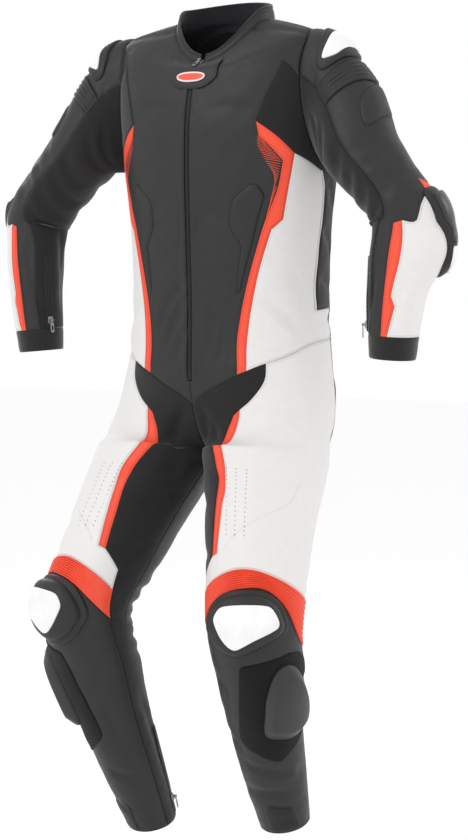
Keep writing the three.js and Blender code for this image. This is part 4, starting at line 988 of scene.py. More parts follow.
def ribbed(chart: Chart, top: Array, low: Array, ribs: int, height: float, wall: float, steps: int = 8,
           power: float = 0.62, plain: float = 0.0) -> Mesh:
    """A band of padded ribs between two seams.

    Args:
        chart: The surface on the band's own side.
        top, low: The band's seams, with equal points.
        ribs: How many ribs.
        height: How far each rib stands out.
        wall: The band's thickness under them.
        steps: Rows of points for each rib.
        power: Small for flat ribs with narrow valleys.
        plain: The share of the band, from its start, over which the valleys fade in.

    Returns:
        Round ribs with sharp valleys over a plain underside.
    """
    rows, cols = ribs * steps + 1, len(top)
    t = np.linspace(0, 1, rows)[:, None]
    p = top[None] + (low - top)[None] * t[..., None]
    ends = smoothstep(np.minimum(np.arange(cols), np.arange(cols)[::-1]) / (cols * 0.05))
    wander = 0.12 * np.sin(np.linspace(0, 9, cols))[None] * np.sin(np.pi * t)
    turn = ribs * t + wander
    ridge = np.abs(np.sin(np.pi * turn)) ** power
    deep = smoothstep(np.arange(cols) / (cols * plain) - 0.15) if plain else np.ones(cols)
    lift = height * (0.8 + (ridge - 0.8) * deep[None]) * (0.25 + 0.75 * ends)[None] - 0.5
    # The edge is 0 in each valley, so a leather finish paints shade there.
    edge = np.abs((turn + 0.5) % 1 - 0.5) * 9
    return band(chart, p, lift, wall, edge)


@dataclass(frozen=True)
class Oval:
    """A superellipse on a pattern."""

    centre: tuple[float, float]
    half: tuple[float, float]
    square: float = 2.0

    def outline(self, count: int) -> Array:
        """Points round it, evenly by angle."""
        angle = 2 * np.pi * np.arange(count) / count
        x = self.half[0] * signed_power(np.cos(angle), 2 / self.square)
        y = self.half[1] * signed_power(np.sin(angle), 2 / self.square)
        return np.stack([self.centre[0] + x, self.centre[1] + y], axis=-1)


def rounded(points: Points, count: int, width: float = 450.0, tight: float = 0.5) -> Array:
    """A closed smooth line through a few points, as cubic spans whose slopes are held by tight."""
    corners = np.array(points, float)
    n = len(corners)
    at = np.arange(count) / count * n
    i = np.floor(at).astype(int)
    slope = lambda k: (corners[(k + 1) % n] - corners[(k - 1) % n]) * tight
    fine = hermite((at - i)[:, None], corners[i % n], slope(i), corners[(i + 1) % n], slope(i + 1))
    closed = evenly(np.concatenate([fine, fine[:1]]), count, width)
    return closed[:-1]


def cup(chart: Chart, outline: Array, centre: tuple[float, float], profile: Array, base: float) -> Mesh:
    """A closed cup over an outline: rings of it drawn in towards its centre.

    Args:
        chart: The surface on the cup's own side.
        outline: The cup's edge on the pattern.
        centre: The point that the rings close on.
        profile: Rows of (share of the outline, height), from the edge to the crown.
        base: The height of its flat underside.

    Returns:
        The underside, the wall and the crown as one closed surface.
    """
    under = np.array([(share, base) for share in (0.35, 0.7, 1.0)])
    rows = np.concatenate([under, profile])
    middle = np.array(centre)
    p = (middle + rows[:, 0, None, None] * (outline - middle)[None]).reshape(-1, 2)
    count, rings = len(outline), len(rows)
    lifts = np.repeat(rows[:, 1], count)
    p = np.concatenate([p, middle[None], middle[None]])
    lifts = np.concatenate([lifts, [base, profile[-1, 1]]])
    points = chart.place(p) + chart.normal(p) * lifts[:, None]
    quads = grid_faces(rings, count, True)
    ring = np.arange(count)
    after = np.roll(ring, -1)
    last = (rings - 1) * count
    low, high = rings * count, rings * count + 1
    fans = np.concatenate([np.stack([np.full(count, low), after, ring], axis=-1),
                           np.stack([ring + last, after + last, np.full(count, high)], axis=-1)])
    flat = outline * np.array([chart.width, 1.0])
    area = (flat[:, 0] * np.roll(flat[:, 1], -1) - np.roll(flat[:, 0], -1) * flat[:, 1]).sum()
    flip = (area > 0) != (chart.sign > 0)
    # The edge is 0 at the outline, so a leather finish paints shade round a frame's rim.
    edge = np.concatenate([np.repeat((1 - rows[:, 0]) * 30, count), [30, 30]])
    return Mesh(points, [flipped(quads, flip), flipped(fans, flip)], edge=edge,
                cloth=p * np.array([chart.width, 1.0]))


def dome_profile(rim: float, crown: float, base: float, rows: int = 18) -> Array:
    """A rounded rim and a quarter of an ellipse up to the crown, as (share, height) rows."""
    share = np.sin(np.linspace(np.pi / 2, 0.06, rows))
    height = base + rim + (crown - rim) * np.sqrt(1 - share**2)
    lip = np.array([(1.0, base + rim * 0.35), (0.998, base + rim * 0.7)])
    share = np.minimum(share, 0.992)
    return np.concatenate([lip, np.stack([share, height], axis=-1)])


def frames_along(chart: Chart, line: Array, closed: bool) -> tuple[Array, Array, Array]:
    """The normal, the direction and the sideways direction at each point of a line on a surface."""
    places, normals = chart.place(line), chart.normal(line)
    if closed:
        along = np.roll(places, -1, axis=0) - np.roll(places, 1, axis=0)
    else:
        along = np.gradient(places, axis=0)
    along = unit(along)
    sideways = unit(np.cross(normals, along))
    return normals, along, sideways


def swept(chart: Chart, line: Array, section: Array, lift: Array | float = 0.0, closed: bool = False) -> Mesh:
    """A closed section carried along a line on a surface.

    Args:
        chart: The surface.
        line: Pattern points.
        section: Rows of (sideways, out), counter-clockwise seen against the line's direction.
        lift: The height of the section's own zero over the surface.
        closed: Whether the line is a loop.

    Returns:
        The swept solid, with flat ends where the line is open.
    """
    normals, _, sideways = frames_along(chart, line, closed)
    places = chart.place(line) + normals * (np.zeros(len(line)) + lift)[:, None]
    points = places[:, None] + sideways[:, None] * section[None, :, :1] + normals[:, None] * section[None, :,
                                                                                                     1:]
    sides = len(section)
    quads = grid_faces(len(line) + (1 if closed else 0), sides, True) % (len(line) * sides)
    faces = [quads]
    if not closed:
        ring = np.arange(sides)
        faces += [ring[None, ::-1], (ring + (len(line) - 1) * sides)[None]]
    cloth = np.repeat(line * np.array([chart.width, 1.0]), sides, axis=0)
    return Mesh(points.reshape(-1, 3), faces, cloth=cloth)


def round_section(half: float, rise: float, sides: int = 8) -> Array:
    """An ellipse as a section."""
    angle = 2 * np.pi * np.arange(sides) / sides
    return np.stack([half * np.cos(angle), rise * np.sin(angle)], axis=-1)


def flat_section(half: float, rise: float) -> Array:
    """A low strip with softened upper edges as a section."""
    return np.array([(half, 0), (half, rise * 0.6), (half * 0.9, rise), (-half * 0.9, rise),
                     (-half, rise * 0.6), (-half, 0)])


def resampled(chart: Chart, line: Array, pitch: float) -> Array:
    """A line again, with points the pitch apart in space."""
    places = chart.place(line)
    lengths = np.concatenate([[0], np.cumsum(np.linalg.norm(np.diff(places, axis=0), axis=1))])
    at = np.arange(pitch / 2, lengths[-1], pitch)
    return np.stack([np.interp(at, lengths, line[:, k]) for k in (0, 1)], axis=-1)


def stitch_form(length: float, half: float, rise: float) -> tuple[Array, Array, Array]:
    """One stitch: three rings of four points and two ends, along X with Z out."""
    angle = np.pi / 4 + np.pi / 2 * np.arange(4)
    rings = []
    for x, size in ((-0.32, 0.85), (0.0, 1.0), (0.32, 0.85)):
        rings.append(np.stack([np.full(4, x * length), half * size * np.cos(angle) * 1.4,
                               rise * size * np.sin(angle) * 1.4], axis=-1))
    ends = np.array([(-length / 2, 0, -rise * 0.6), (length / 2, 0, -rise * 0.6)])
    points = np.concatenate([*rings, ends])
    quads = grid_faces(3, 4, True)
    ring = np.arange(4)
    after = np.roll(ring, -1)
    fans = np.concatenate([np.stack([after, ring, np.full(4, 12)], axis=-1),
                           np.stack([ring + 8, after + 8, np.full(4, 13)], axis=-1)])
    return points, quads, fans


def scattered(template: tuple[Array, Array, Array], places: Array, axes: Array) -> Mesh:
    """Copies of one small form, each with its own place and axes, as one mesh."""
    points, quads, fans = template
    moved = places[:, None] + np.einsum("nij,pi->npj", axes, points)
    starts = (np.arange(len(places)) * len(points))[:, None, None]
    faces = [(quads[None] + starts).reshape(-1, 4), (fans[None] + starts).reshape(-1, 3)]
    return Mesh(moved.reshape(-1, 3), faces)


@dataclass(frozen=True)
class Thread:
    """A sewing thread's stitches."""

    length: float = 2.9
    pitch: float = 3.9
    half: float = 0.34
    rise: float = 0.3

    def row(self, chart: Chart, line: Array, parts: Sequence[Relief], edge: float = STITCH_INSET) -> Mesh:
        """Stitches along a line on a panel.

        Args:
            chart: The surface on the panel's own side.
            line: The sewn line.
            parts: The panel's reliefs.
            edge: The line's distance from the panel's border.

        Returns:
            All the line's stitches as one mesh.
        """
        p = resampled(chart, line, self.pitch)
        if len(p) < 2:
            return Mesh(np.zeros((0, 3)), [np.zeros((0, 4), int)])
        normals, along, sideways = frames_along(chart, p, False)
        edges = np.full(len(p), edge)
        lift = reliefs(chart, p, edges, parts) + tuck(edges) + self.rise * 0.4
        places = chart.place(p) + normals * lift[:, None]
        return scattered(stitch_form(self.length, self.half, self.rise), places,
                         np.stack([along, sideways, normals], axis=1))


def rounded_block(size: tuple[float, float, float], centre: tuple[float, float, float], bevel: float) -> Mesh:
    """A block with its upright edges and its top rounded off, from rings of a rounded rectangle."""
    x, y, z = (value / 2 for value in size)
    angle = 2 * np.pi * (np.arange(16) + 0.5) / 16
    corner = np.stack([np.sign(np.cos(angle)), np.sign(np.sin(angle))], axis=-1)
    arc = np.stack([np.cos(angle), np.sin(angle)], axis=-1)
    rings = []
    for height, inset in ((-z, 0.0), (z - bevel, 0.0), (z - bevel * 0.3, bevel * 0.3), (z, bevel)):
        core = np.array([x - bevel, y - bevel]) * corner
        ring = core + arc * (bevel - inset * 0.9)
        rings.append(np.concatenate([ring, np.full((16, 1), height)], axis=1))
    points = np.concatenate(rings) + np.array(centre)
    caps = [np.arange(16)[None, ::-1], (np.arange(16) + 48)[None]]
    return Mesh(points, [grid_faces(4, 16, True), *caps])


def pin(radius: float, length: float, rise: float, sides: int = 12) -> Mesh:
    """A round pin along X."""
    angle = 2 * np.pi * np.arange(sides) / sides
    ring = np.stack([np.zeros(sides), radius * np.cos(angle), radius * np.sin(angle) + rise], axis=-1)
    points = np.concatenate([ring - [length / 2, 0, 0], ring + [length / 2, 0, 0]])
    caps = [np.arange(sides)[None, ::-1], (np.arange(sides) + sides)[None]]
    return Mesh(points, [grid_faces(2, sides, True), *caps])


def placed(mesh: Mesh, axes: Array, origin: Array) -> Mesh:
    """A mesh taken from its own frame into the suit's."""
    points = mesh.points @ axes + origin
    return Mesh(points, mesh.faces, mesh.inner, mesh.edge, mesh.cloth)


# Finishes: shader groups

Socket = bpy.types.NodeSocket


class Nodes:
    """A node tree with short calls to add and link nodes."""

    def __init__(self, tree: bpy.types.NodeTree) -> None:
        """Takes an empty tree."""
        self.tree = tree

    def add(self, kind: str, inputs: Optional[dict] = None, **settings: object) -> bpy.types.Node:
        """Adds a node.

        Args:
            kind: The node's type, without its ShaderNode prefix.
            inputs: Values or sockets for its inputs.
            settings: Its properties.

        Returns:
            The new node.
        """
        node = self.tree.nodes.new(kind if kind.startswith("NodeGroup") else f"ShaderNode{kind}")
        for name, value in settings.items():
            setattr(node, name, value)
        for name, value in (inputs or {}).items():
            self.feed(node.inputs[name], value)
        return node

    def feed(self, socket: Socket, value: object) -> None:
        """Links a socket or sets a value."""
        if isinstance(value, bpy.types.NodeSocket):
            self.tree.links.new(value, socket)
        else:
            socket.default_value = value

    def math(self, operation: str, *values: object, clamp: bool = False) -> Socket:
        """A Math node's result."""
        node = self.add("Math", operation=operation, use_clamp=clamp)
        for socket, value in zip(node.inputs, values):
            self.feed(socket, value)
        return node.outputs[0]

    def span(self, value: object, low: float, high: float, to_low: float = 0.0,
             to_high: float = 1.0) -> Socket:
        """A value taken from one span to another, held to its ends."""
        node = self.add("MapRange", {0: value, 1: low, 2: high, 3: to_low, 4: to_high}, clamp=True)
        return node.outputs[0]

    def mix(self, share: object, first: object, second: object, blend: str = "MIX") -> Socket:
        """A blend of two colours."""
        node = self.add("Mix", data_type="RGBA", blend_type=blend)
        for index, value in ((0, share), (6, first), (7, second)):
            self.feed(node.inputs[index], value)
        return node.outputs[2]


def make_group(name: str, inputs: dict[str, tuple], outputs: dict[str, str],
               build: Callable[[Nodes, bpy.types.Node], dict[str, Socket]]) -> bpy.types.NodeTree:
    """A shader group with named sockets.

    Args:
        name: The group's name.
        inputs: For each input, its socket type's ending and its plain value.
        outputs: For each output, its socket type's ending.
        build: Makes the nodes and gives back a socket for each output.

    Returns:
        The finished group.
    """
    tree = bpy.data.node_groups.new(name, "ShaderNodeTree")
    for key, (kind, value) in inputs.items():
        made = tree.interface.new_socket(name=key, in_out="INPUT", socket_type=f"NodeSocket{kind}")
        if value is not None:
            made.default_value = value
    for key, kind in outputs.items():
        tree.interface.new_socket(name=key, in_out="OUTPUT", socket_type=f"NodeSocket{kind}")
    nodes = Nodes(tree)
    start, end = tree.nodes.new("NodeGroupInput"), tree.nodes.new("NodeGroupOutput")
    for key, socket in build(nodes, start).items():
        tree.links.new(socket, end.inputs[key])
    return tree


def grain_group() -> bpy.types.NodeTree:
    """Leather grain: small pebbles with pores, broken up by a slower noise."""

    def build(n: Nodes, start: bpy.types.Node) -> dict[str, Socket]:
        """Makes the group's nodes."""
        scale, vector = start.outputs["Scale"], start.outputs["Vector"]
        slow = n.add("TexNoise", {"Vector": vector, "Scale": n.math("MULTIPLY", scale, 0.12), "Detail": 3.0})
        cells = n.add("TexVoronoi", {"Vector": vector, "Scale": scale, "Randomness": 0.9}, feature="F1")
        fine = n.add("TexNoise", {"Vector": vector, "Scale": n.math("MULTIPLY", scale, 2.6), "Detail": 2.0})
        pebble = n.span(cells.outputs["Distance"], 0.1, 0.75, 1.0, 0.0)
        height = n.math("ADD", n.math("MULTIPLY", pebble, 0.7), n.math("MULTIPLY", fine.outputs[0], 0.3))
        height = n.math("MULTIPLY", height, n.span(slow.outputs[0], 0.3, 0.7, 0.55, 1.0))
        return {"Height": height, "Pores": n.span(pebble, 0.0, 0.35, 1.0, 0.0), "Mottle": slow.outputs[0]}

    return make_group("leather_grain", {"Vector": ("Vector", None), "Scale": ("Float", 700.0)},
                      {"Height": "Float", "Pores": "Float", "Mottle": "Float"}, build)


def seam_group() -> bpy.types.NodeTree:
    """What a seam does beside it: its fold, darkened with painted shade, a pinched line under the stitches,
    darkened along it with painted shade, and rubbed edges.
    """

    def build(n: Nodes, start: bpy.types.Node) -> dict[str, Socket]:
        """Makes the group's nodes."""
        edge, vector = start.outputs["Edge"], start.outputs["Vector"]
        broken = n.add("TexNoise", {"Vector": vector, "Scale": 55.0, "Detail": 3.0}).outputs[0]
        off = n.math("DIVIDE", n.math("SUBTRACT", edge, 2.8), 0.9)
        line = n.math("EXPONENT", n.math("MULTIPLY", n.math("MULTIPLY", off, off), -1.0))
        rubbed = n.math("MULTIPLY", n.span(edge, 0.4, 1.8, 1.0, 0.0), n.span(broken, 0.45, 0.7))
        return {"Fold": n.span(edge, 0.0, 1.3, 1.0, 0.0), "Line": line, "Rubbed": rubbed}

    return make_group("seam_shade", {"Edge": ("Float", 50.0), "Vector": ("Vector", None)},
                      {"Fold": "Float", "Line": "Float", "Rubbed": "Float"}, build)


def weave_group() -> bpy.types.NodeTree:
    """A plain weave with a thicker thread every few, in the cloth's own directions."""

    def build(n: Nodes, start: bpy.types.Node) -> dict[str, Socket]:
        """Makes the group's nodes."""
        split = n.add("SeparateXYZ", {0: start.outputs["Vector"]})
        waves = []
        for axis in (0, 1):
            turn = n.math("MULTIPLY", split.outputs[axis], start.outputs["Threads"])
            waves.append(n.math("SINE", n.math("MULTIPLY", turn, 2 * math.pi)))
        over = n.math("MULTIPLY", waves[0], waves[1])
        ribs = []
        for axis in (0, 1):
            turn = n.math("MULTIPLY", split.outputs[axis], start.outputs["Rips"])
            part = n.math("ABSOLUTE", n.math("SINE", n.math("MULTIPLY", turn, math.pi)))
            ribs.append(n.span(part, 0.82, 1.0))
        rip = n.math("MAXIMUM", ribs[0], ribs[1])
        height = n.math("ADD", n.math("MULTIPLY", over, 0.5), n.math("MULTIPLY", rip, 0.6))
        return {"Height": height, "Rip": rip}

    return make_group("weave",
                      {"Vector": ("Vector", None), "Threads": ("Float", 1400.0), "Rips": ("Float", 260.0)},
                      {"Height": "Float", "Rip": "Float"}, build)


@dataclass(frozen=True)
class Groups:
    """The shader groups that the finishes share."""

    grain: bpy.types.NodeTree
    seam: bpy.types.NodeTree
    weave: bpy.types.NodeTree


def material(name: str) -> tuple[bpy.types.Material, Nodes, bpy.types.Node]:
    """An empty material with its Principled shader.

    Args:
        name: The material's name.

    Returns:
        The material, its nodes and the shader.
    """
    made = bpy.data.materials.new(name)
    made.use_nodes = True
    made.node_tree.nodes.clear()
    nodes = Nodes(made.node_tree)
    shader = nodes.add("BsdfPrincipled")
    nodes.add("OutputMaterial", {"Surface": shader.outputs[0]})
    return made, nodes, shader


def shade(colour: Sequence[float], factor: float) -> tuple[float, float, float, float]:
    """A colour made lighter or darker, with full alpha."""
    return (*[min(1.0, c * factor) for c in colour[:3]], 1.0)


@dataclass(frozen=True)
class LeatherFinish:
    """Grained leather with a light film of finish."""

    name: str
    colour: tuple[float, float, float]
    roughness: float = 0.48
    grain: float = 640.0
    depth: float = 0.16
    # fold: how strongly painted shade darkens the seam's fold.
    fold: float = 0.55
    rub: float = 1.5
    mottle: float = 0.12
    specular: float = 0.5
    pores: float = 0.25

    def build(self, groups: Groups) -> bpy.types.Material:
        """Makes the material."""
        made, n, shader = material(self.name)
        where = n.add("TexCoord").outputs["Object"]
        edge = n.add("Attribute", attribute_name="edge").outputs["Fac"]
        grain = n.add("Group", node_tree=groups.grain)
        n.feed(grain.inputs["Vector"], where)
        grain.inputs["Scale"].default_value = self.grain
        seam_part = n.add("Group", node_tree=groups.seam)
        n.feed(seam_part.inputs["Edge"], edge)
        n.feed(seam_part.inputs["Vector"], where)
        dark, light = shade(self.colour, 1 - self.mottle), shade(self.colour, 1 + self.mottle)
        colour = n.mix(n.span(grain.outputs["Mottle"], 0.3, 0.7), dark, light)
        colour = n.mix(n.math("MULTIPLY", grain.outputs["Pores"], self.pores), colour,
                       shade(self.colour, 0.6))
        # Painted shade: darker where the edge is small (seam folds, rib valleys, cup rims, the collar's
        # groove) and along the pinched stitch line.
        colour = n.mix(n.math("MULTIPLY", seam_part.outputs["Fold"], self.fold), colour,
                       shade(self.colour, 0.25))
        colour = n.mix(n.math("MULTIPLY", seam_part.outputs["Line"], 0.3), colour, shade(self.colour, 0.5))
        colour = n.mix(n.math("MULTIPLY", seam_part.outputs["Rubbed"], 0.35), colour,
                       shade(self.colour, self.rub))
        n.feed(shader.inputs["Base Color"], colour)
        rough = n.math("ADD", n.span(grain.outputs["Mottle"], 0.3, 0.7, -0.05, 0.06), self.roughness)
        rough = n.math("ADD", rough, n.math("MULTIPLY", grain.outputs["Pores"], 0.08))
        n.feed(shader.inputs["Roughness"], rough)
        shader.inputs["Specular IOR Level"].default_value = self.specular
        height = n.math("SUBTRACT", grain.outputs["Height"],
                        n.math("MULTIPLY", seam_part.outputs["Line"], 2.0))
        bump = n.add("Bump", {"Strength": self.depth, "Distance": 0.0006, "Height": height})
        n.feed(shader.inputs["Normal"], bump.outputs[0])
        return made


@dataclass(frozen=True)
class ClothFinish:
    """Woven stretch cloth with a soft sheen."""

    name: str
    colour: tuple[float, float, float]
    threads: float = 1100.0
    rips: float = 240.0
    depth: float = 0.3
    sheen: float = 0.25
    roughness: float = 0.82
    rip_light: float = 1.5

    def build(self, groups: Groups) -> bpy.types.Material:
        """Makes the material."""
        made, n, shader = material(self.name)
        cloth = n.add("UVMap", uv_map="cloth").outputs[0]
        where = n.add("TexCoord").outputs["Object"]
        edge = n.add("Attribute", attribute_name="edge").outputs["Fac"]
        weave = n.add("Group", node_tree=groups.weave)
        n.feed(weave.inputs["Vector"], cloth)
        weave.inputs["Threads"].default_value = self.threads
        weave.inputs["Rips"].default_value = self.rips
        slow = n.add("TexNoise", {"Vector": where, "Scale": 14.0, "Detail": 3.0}).outputs[0]
        colour = n.mix(n.span(slow, 0.3, 0.7), shade(self.colour, 0.88), shade(self.colour, 1.12))
        colour = n.mix(n.math("MULTIPLY", weave.outputs["Rip"], 0.4), colour,
                       shade(self.colour, self.rip_light))
        # Painted shade: the cloth darkens within about a millimetre of a seam's edge.
        colour = n.mix(n.span(edge, 0.0, 1.2, 0.5, 0.0), colour, shade(self.colour, 0.3))
        n.feed(shader.inputs["Base Color"], colour)
        n.feed(shader.inputs["Roughness"],
               n.span(slow, 0.3, 0.7, self.roughness - 0.05, self.roughness + 0.05))
        shader.inputs["Sheen Weight"].default_value = self.sheen
        shader.inputs["Sheen Roughness"].default_value = 0.45
        shader.inputs["Specular IOR Level"].default_value = 0.3
        bump = n.add("Bump", {"Strength": self.depth, "Distance": 0.0004, "Height": weave.outputs["Height"]})
        n.feed(shader.inputs["Normal"], bump.outputs[0])
        return made


@dataclass(frozen=True)
class MouldedFinish:
    """Moulded plastic or rubber, with fine scratches."""

    name: str
    colour: tuple[float, float, float]
    roughness: float = 0.32
    coat: float = 0.0
    metallic: float = 0.0
    texture: float = 0.05
    scale: float = 900.0

    def build(self, groups: Groups) -> bpy.types.Material:
        """Makes the material."""
        made, n, shader = material(self.name)
        where = n.add("TexCoord").outputs["Object"]
        stretched = n.add("Mapping", {"Vector": where, "Scale": (1.0, 1.0, 0.12)}).outputs[0]
        scratch = n.add("TexNoise", {"Vector": stretched, "Scale": 420.0, "Detail": 4.0}).outputs[0]
        skin = n.add("TexNoise", {"Vector": where, "Scale": self.scale, "Detail": 2.0}).outputs[0]
        slow = n.add("TexNoise", {"Vector": where, "Scale": 30.0, "Detail": 2.0}).outputs[0]
        colour = n.mix(n.span(slow, 0.3, 0.7), shade(self.colour, 0.94), shade(self.colour, 1.05))
        n.feed(shader.inputs["Base Color"], colour)
        rough = n.math("ADD", n.span(scratch, 0.55, 0.75, 0.0, 0.14), self.roughness)
        n.feed(shader.inputs["Roughness"], rough)
        shader.inputs["Metallic"].default_value = self.metallic
        shader.inputs["Coat Weight"].default_value = self.coat
        bump = n.add("Bump", {"Strength": self.texture, "Distance": 0.0005, "Height": skin})
        n.feed(shader.inputs["Normal"], bump.outputs[0])
        return made


class Finish(Enum):
    """The suit's finishes."""

    BLACK = LeatherFinish("black_leather", (0.016, 0.016, 0.0165), 0.46, depth=0.2, rub=2.4, specular=0.4)
    WHITE = LeatherFinish("white_leather", (0.74, 0.725, 0.71), 0.5, depth=0.1, fold=0.45, rub=1.02,
                          mottle=0.015,
                          specular=0.4, pores=0.04)
    RED = LeatherFinish("red_leather", (0.92, 0.075, 0.028), 0.5, depth=0.14, rub=1.05, mottle=0.04,
                        pores=0.1)
    STRETCH = ClothFinish("stretch_cloth", (0.011, 0.0102, 0.011))
    LINING = ClothFinish("lining_mesh", (0.013, 0.013, 0.018), threads=420.0, rips=140.0, depth=0.6)
    NEOPRENE = ClothFinish("neoprene", (0.012, 0.012, 0.012), threads=900.0, rips=0.0, depth=0.2, sheen=0.4)
    HOOK = ClothFinish("loop_cloth", (0.004, 0.004, 0.0042), threads=700.0, rips=0.0, depth=1.0, sheen=0.08,
                       roughness=0.95)
    MESH = ClothFinish("side_mesh", (0.014, 0.014, 0.015), threads=300.0, rips=130.0, depth=1.0,
                       rip_light=2.6)
    WHITE_SHELL = MouldedFinish("white_shell", (0.84, 0.84, 0.84), 0.24, coat=0.3)
    BLACK_SHELL = MouldedFinish("black_shell", (0.02, 0.02, 0.02), 0.3, texture=0.1)
    PUCK = MouldedFinish("slider_plastic", (0.018, 0.018, 0.018), 0.42, texture=0.35, scale=1400.0)
    RED_RUBBER = MouldedFinish("red_rubber", (0.9, 0.08, 0.035), 0.42, texture=0.15)
    BLACK_RUBBER = MouldedFinish("black_rubber", (0.016, 0.016, 0.016), 0.5, texture=0.2)
    METAL = MouldedFinish("zip_metal", (0.28, 0.28, 0.29), 0.33, metallic=1.0, texture=0.1)
    TEETH = MouldedFinish("zip_teeth", (0.012, 0.012, 0.013), 0.38, texture=0.1)
    # Dark dots for the punched holes: partly the dark lining seen through them, partly painted shade inside
    # them.
    DARK = MouldedFinish("punched_hole", (0.03, 0.03, 0.03), 0.9)
    BLACK_THREAD = ClothFinish("black_thread", (0.03, 0.03, 0.031), threads=2600.0, rips=0.0)
    WHITE_THREAD = ClothFinish("white_thread", (0.66, 0.65, 0.63), threads=2600.0, rips=0.0)
    RED_THREAD = ClothFinish("red_thread", (0.62, 0.06, 0.03), threads=2600.0, rips=0.0)


class Dresser:
    """Turns meshes into named pieces with their finish and body."""

    def __init__(self) -> None:
        """Makes the groups and one material for each finish."""
        groups = Groups(grain_group(), seam_group(), weave_group())
        self.materials = {finish: finish.value.build(groups) for finish in Finish}

    def add(self, name: str, mesh: Mesh, finish: Finish, slot: str, nodes: Sequence[str] = (),
            lining: Optional[Finish] = None, sharp: float = 40.0, body: str = BODY_NAME) -> bpy.types.Object:
        """Makes a piece.

        Args:
            name: The piece's name.
            mesh: Its points and faces.
            finish: The finish of its face.
            slot: A material slot's name; not used.
            nodes: The solids that it stands for.
            lining: The finish of its inner faces, where it differs.
            sharp: Edges that turn by more degrees than this stay sharp.
            body: The body that it moves with.

        Returns:
            The new object.
        """
        data = bpy.data.meshes.new(name)
        sizes = np.concatenate([np.full(len(f), f.shape[1]) for f in mesh.faces])
        corners = np.concatenate([f.reshape(-1) for f in mesh.faces])
        data.vertices.add(len(mesh.points))
        data.vertices.foreach_set("co", (mesh.points * MM).astype(np.float32).reshape(-1))
        data.loops.add(len(corners))
        data.loops.foreach_set("vertex_index", corners.astype(np.int32))
        data.polygons.add(len(sizes))
        data.polygons.foreach_set("loop_start", np.concatenate([[0], np.cumsum(sizes)[:-1]]).astype(np.int32))
        data.materials.append(self.materials[finish])
        if lining is not None:
            data.materials.append(self.materials[lining])
            index = np.concatenate([np.full(len(f), int(i)) for f, i in zip(mesh.faces, mesh.inner)])
            data.polygons.foreach_set("material_index", index.astype(np.int32))
        data.update(calc_edges=True)
        # The leather and cloth finishes paint shade where this edge distance is small.
        edge = data.attributes.new("edge", "FLOAT", "POINT")
        edge.data.foreach_set("value", mesh.edge.astype(np.float32))
        uv = data.uv_layers.new(name="cloth")
        uv.data.foreach_set("uv", (mesh.cloth[corners] * MM).astype(np.float32).reshape(-1))
        data.validate()
        data.shade_smooth()
        data.set_sharp_from_angle(angle=math.radians(sharp))
        piece = bpy.data.objects.new(f"dressed_{name}", data)
        bpy.context.scene.collection.objects.link(piece)
        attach(piece, body)
        if nodes:
            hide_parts(*nodes)
        log.info("%s: %d faces", name, len(sizes))
        return piece

    def sheet(self, piece: bpy.types.Object, chart: Chart, pattern: Pattern, held: Held) -> None:
        """Logs the flat size that a panel was cut to, and its area.

        Args:
            piece: The panel.
            chart: Its surface.
            pattern: Its pattern, measured on the smooth form.
            held: How it is held; not used.
        """
        places = chart.place(pattern.points)
        corners = places[pattern.triangles]
        area = np.linalg.norm(np.cross(corners[:, 1] - corners[:, 0], corners[:, 2] - corners[:, 0]),
                              axis=1).sum() / 2
        across, along = chart.slopes(pattern.points)
        size = np.array([np.linalg.norm(across, axis=1).mean(), np.linalg.norm(along, axis=1).mean()])
        flat = pattern.points * size
        angles = np.radians(np.arange(0, 90, 2))
        spans = [np.ptp(flat @ np.array([[math.cos(a), -math.sin(a)], [math.sin(a), math.cos(a)]]), axis=0)
                 for a in angles]
        width, length = sorted(min(spans, key=lambda s: s[0] * s[1]))
        width = min(max(width, area / length), area / length * 3.2)
        log.info("%s: cut from %.0f by %.0f mm, %.4f square metres", piece.name, width, length, area * 1e-6)


# The suit: creases

